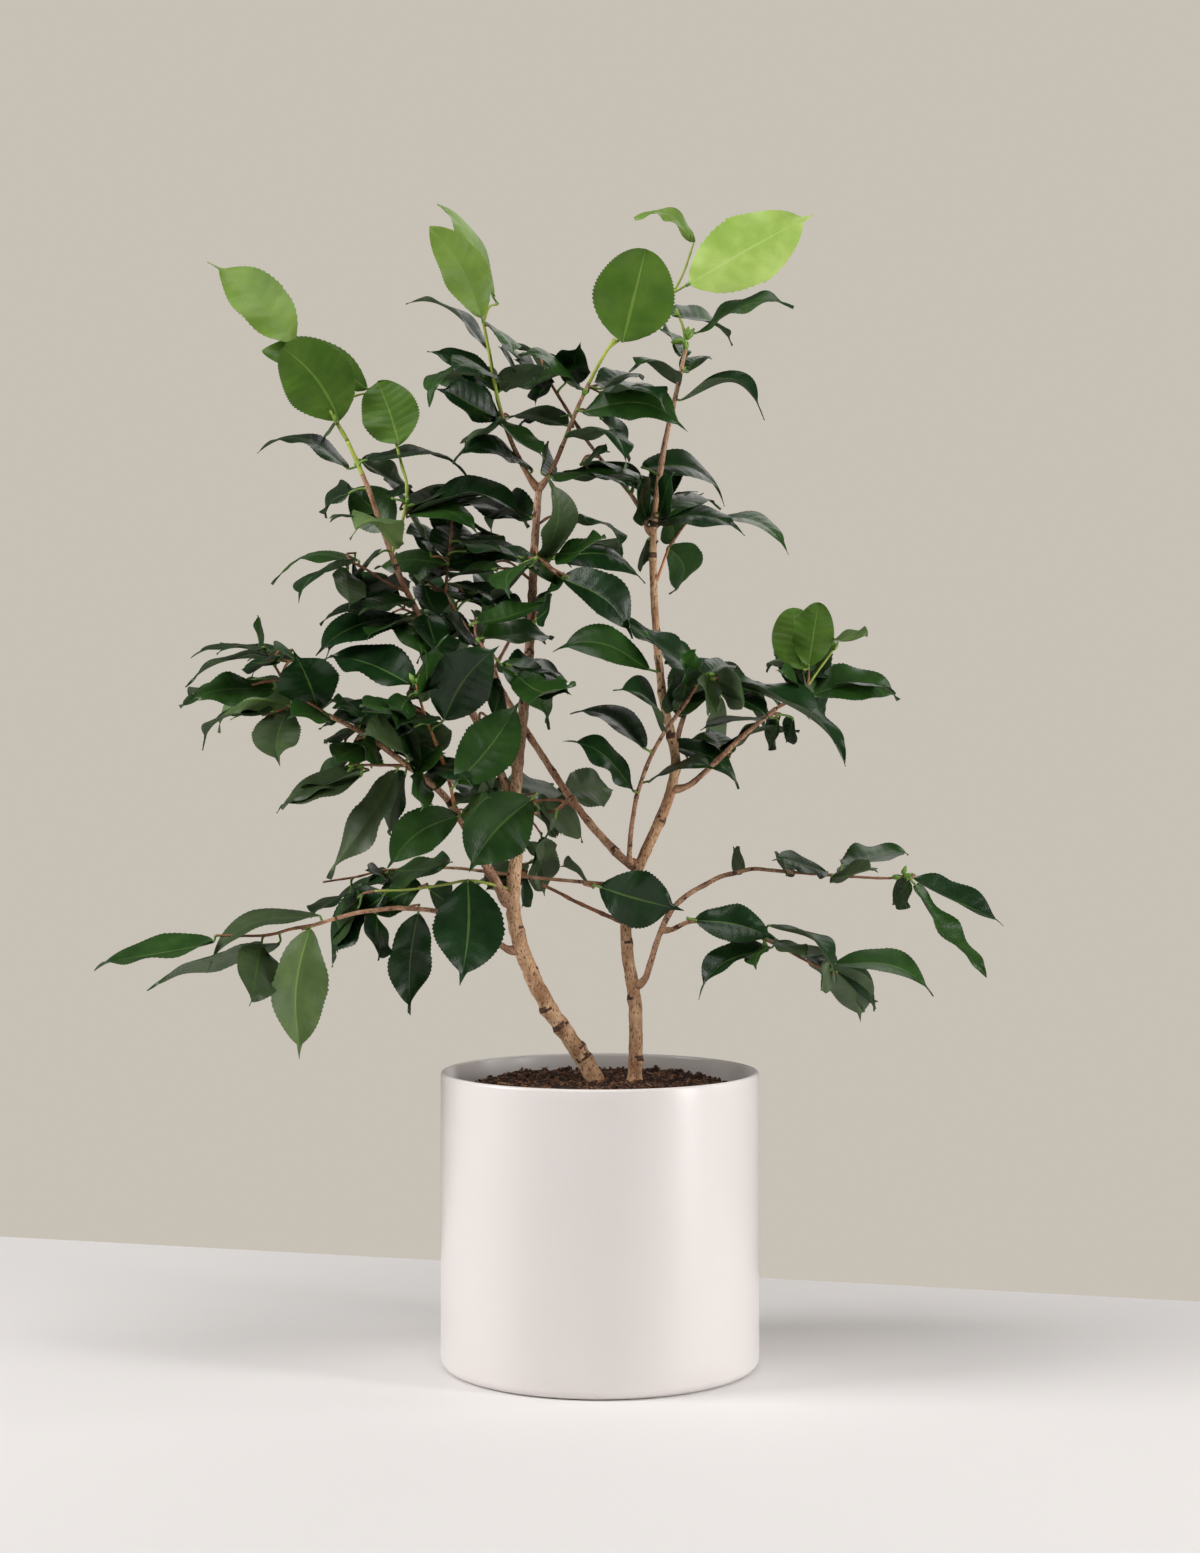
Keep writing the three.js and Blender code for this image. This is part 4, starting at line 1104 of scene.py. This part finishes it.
spray("middle_left", "leaves_left_inner", [
    (-150, 524, -158, 500, 22, -6, MIDDLE), (-160, 510, -222, 501, 18, 10),
    (-148, 522, -126, 531, 8, 4, MIDDLE), (-128, 508, -160, 502, 14, 4),
    (-127, 480, -142, 503, 26, 6, OLIVE), (-150, 478, -186, 496, 18, 8, OLIVE),
    (-186, 512, -210, 516, 10, 6), (-187, 486, -209, 472, 24, 4), (-172, 474, -190, 488, 14, 4, MIDDLE),
    (-188, 461, -257, 436, 24, 6, OLIVE), (-188, 464, -245, 447, 10, 4, OLIVE),
    (-150, 512, -188, 518, 14, 2, MIDDLE), (-136, 470, -100, 455, 16, 8), (-112, 468, -150, 448, 20, 6),
    (-146, 500, -180, 484, 16, 6), (-186, 498, -218, 490, 13, 2), (-146, 468, -156, 496, 14, 0, MIDDLE),
    (-142, 470, -122, 480, 12, 0), (-112, 440, -82, 456, 16, 0, MIDDLE), (-108, 432, -88, 446, 14, 0),
], DARK, 34)
spray("low_left", "leaves_left_hanging", [
    (-160, 465, -217, 382, 30, -2, OLIVE), (-153, 463, -168, 414, 26, 6), (-139, 462, -138, 436, 12, -4),
], MIDDLE, 35)
spray("low_left", "leaves_low_left_far", [
    (-304, 331, -400, 314, 17, 1), (-252, 330, -358, 298, -17, 3), (-222, 352, -311, 311, 15, 18, OLIVE),
], MIDDLE, 36)
spray("low_left", "leaves_low_left_hanging", [
    (-228, 341, -234, 239, 38, -7, FRESH_AND_SHEEN), (-266, 330, -274, 282, 32, 0, OLIVE),
], DARK, 37)
spray("low_left", "leaves_low_middle_hanging", [
    (-170, 368, -215, 312, 30, 10), (-176, 352, -172, 318, 14, 0), (-143, 354, -149, 273, 34, -4),
    (-163, 387, -118, 397, 15, -4), (-166, 381, -184, 388, 8, 3), (-168, 380, -196, 376, 11, 0),
    (-196, 370, -228, 351, 9, 6), (-190, 366, -212, 350, 8, 0), (-140, 374, -180, 352, 26, 6),
    (-134, 372, -112, 352, 20, 4), (-190, 358, -212, 330, 22, 4),
], DARK, 38)
spray("low_left", "leaf_low_near", [(-104, 379, -110, 297, 54, 4)], DARK, 39)

for number, (x, z, count, length) in enumerate(BUD_CLUSTERS):
    random = np.random.default_rng(9000 + number)
    gaps = [np.linalg.norm(looks_at(route) - [x, z], axis=1) for route, _ in wood]
    nearest = int(np.argmin([gap.min() for gap in gaps]))
    route, at = wood[nearest][0], int(np.argmin(gaps[nearest]))
    growth = growth_at(route, at)
    for k in range(count):
        lean = random.normal(0, 0.45, 3) - [0, 0.25, 0]
        grow_bud(route[at] + lean * 0.002, growth + lean, length / 1000 * random.uniform(0.8, 1.1))

for number, lead in enumerate(shown):
    grow_behind(number, *lead)
for number, (mass, count) in enumerate([
    ("leaves_back_left", 20), ("leaves_back_right", 14), ("leaves_back_low", 12),
]):
    fill_out(mass, count, number)

mass_names = sorted(n for n in cad_nodes if n.startswith(("leaf_", "leaves_", "new_")))
for zone in sorted(leaves):
    stands_for = [n for n in mass_names if zone_of.get(n, "back") == zone]
    slot = "new_foliage" if zone == "new" else "mature_foliage"
    leaves[zone].piece(f"foliage_{zone}", leaf_materials, slot, stands_for)

ripe_twig = finish_of("ripe_twig", (0.38, 0.170, 0.085), (0.180, 0.072, 0.038), 0.006, 0.6, 0.0004, 0.001)
warm_twig = finish_of("warm_twig", (0.72, 0.31, 0.115), (0.48, 0.185, 0.070), 0.008, 0.55, 0.0003, 0.001)
soft_twig = finish_of("soft_twig", (0.400, 0.500, 0.080), (0.300, 0.400, 0.055), 0.012, 0.5, 0.0002, 0.001)
leaf_stalk = finish_of("leaf_stalk", (0.190, 0.320, 0.055), (0.130, 0.240, 0.040), 0.01, 0.5, 0.0002, 0.001)
fat_bud = finish_of("fat_bud", (0.230, 0.420, 0.060), (0.160, 0.320, 0.040), 0.004, 0.45, 0.0002, 0.001)
twigs.piece("twigs", [ripe_twig, soft_twig, warm_twig], "young_bark")
stalks.piece("leaf_stalks", [leaf_stalk], "mature_foliage")
buds.piece("buds", [fat_bud], "new_foliage")

# ---------------------------------------------------------------- the setting
# A pale table top that ends behind the pot, an even grey-beige room, and five soft lamps: a large key
# at the upper left, one overhead, two at the right and a weak one behind. None of it is the plant's.

TABLE_BACK = 0.378          # its back edge behind the pot, which slants towards the front at the right
TABLE_SLANT = -0.279
TABLE_HALF = 2.6
CAMERA_LENS = 58.65
LAMP_COLOUR = (1.0, 0.98, 0.97)

table_finish = bpy.data.materials.new("pale_table")
table_finish.use_nodes = True
table_shader = table_finish.node_tree.nodes["Principled BSDF"]
table_shader.inputs["Base Color"].default_value = (0.80, 0.785, 0.78, 1)
table_shader.inputs["Roughness"].default_value = 0.75
table_mesh = bpy.data.meshes.new("table_top")
table_mesh.from_pydata(
    [(-TABLE_HALF, -TABLE_HALF, 0), (TABLE_HALF, -TABLE_HALF, 0),
     (TABLE_HALF, TABLE_BACK + TABLE_SLANT * TABLE_HALF, 0),
     (-TABLE_HALF, TABLE_BACK - TABLE_SLANT * TABLE_HALF, 0)],
    [], [(0, 1, 2, 3)])
table_mesh.materials.append(table_finish)
table = bpy.data.objects.new("table_top", table_mesh)
bpy.context.scene.collection.objects.link(table)

ROOM_COLOUR = (0.575, 0.53, 0.465)      # how the wall looks, and how much of its light falls on the plant
ROOM_LIGHT = 0.24
world = bpy.data.worlds.new("room")
bpy.context.scene.world = world
world.use_nodes = True
room = world.node_tree
wall = room.nodes["Background"]
wall.inputs["Color"].default_value = (*ROOM_COLOUR, 1)
dimmer = room.nodes.new("ShaderNodeBackground")
dimmer.inputs["Color"].default_value = (*ROOM_COLOUR, 1)
dimmer.inputs["Strength"].default_value = ROOM_LIGHT
straight = room.nodes.new("ShaderNodeLightPath")
either = room.nodes.new("ShaderNodeMixShader")
room.links.new(straight.outputs["Is Camera Ray"], either.inputs["Fac"])
room.links.new(dimmer.outputs["Background"], either.inputs[1])
room.links.new(wall.outputs["Background"], either.inputs[2])
room.links.new(either.outputs["Shader"], room.nodes["World Output"].inputs["Surface"])


def lamp(name, place, aim, size, power):
    """A soft rectangular lamp, turned towards the place it aims at."""
    light = bpy.data.lights.new(name, "AREA")
    light.shape = "RECTANGLE"
    light.size, light.size_y = size
    light.energy = power
    light.color = LAMP_COLOUR
    holder = bpy.data.objects.new(name, light)
    holder.location = place
    direction = np.array(aim) - np.array(place)
    holder.rotation_euler = (
        math.acos(-direction[2] / np.linalg.norm(direction)), 0, math.atan2(-direction[0], direction[1]))
    bpy.context.scene.collection.objects.link(holder)


lamp("key", (-2.35, -0.5, 1.6), (0, 0, 0.4), (1.1, 1.4), 54)
lamp("overhead", (-0.2, -0.9, 2.6), (0, 0, 0.5), (1.5, 1.5), 25)
lamp("strip", (1.8, -0.9, 0.7), (0, 0, 0.3), (0.3, 1.6), 21)
lamp("right_side", (2.2, 0.15, 0.9), (0, 0, 0.3), (0.5, 1.2), 11)
lamp("back_rim", (0.8, 1.9, 2.2), (0, 0, 0.5), (1.4, 1.4), 9)

camera_data = bpy.data.cameras.new("camera")
camera_data.lens = CAMERA_LENS
camera_data.sensor_width = 36
camera = bpy.data.objects.new("camera", camera_data)
camera.location = (0, -EYE_BACK, EYE_HEIGHT)
camera.rotation_euler = (math.pi / 2, 0, 0)
bpy.context.scene.collection.objects.link(camera)
bpy.context.scene.camera = camera
bpy.context.scene.view_settings.view_transform = "Standard"
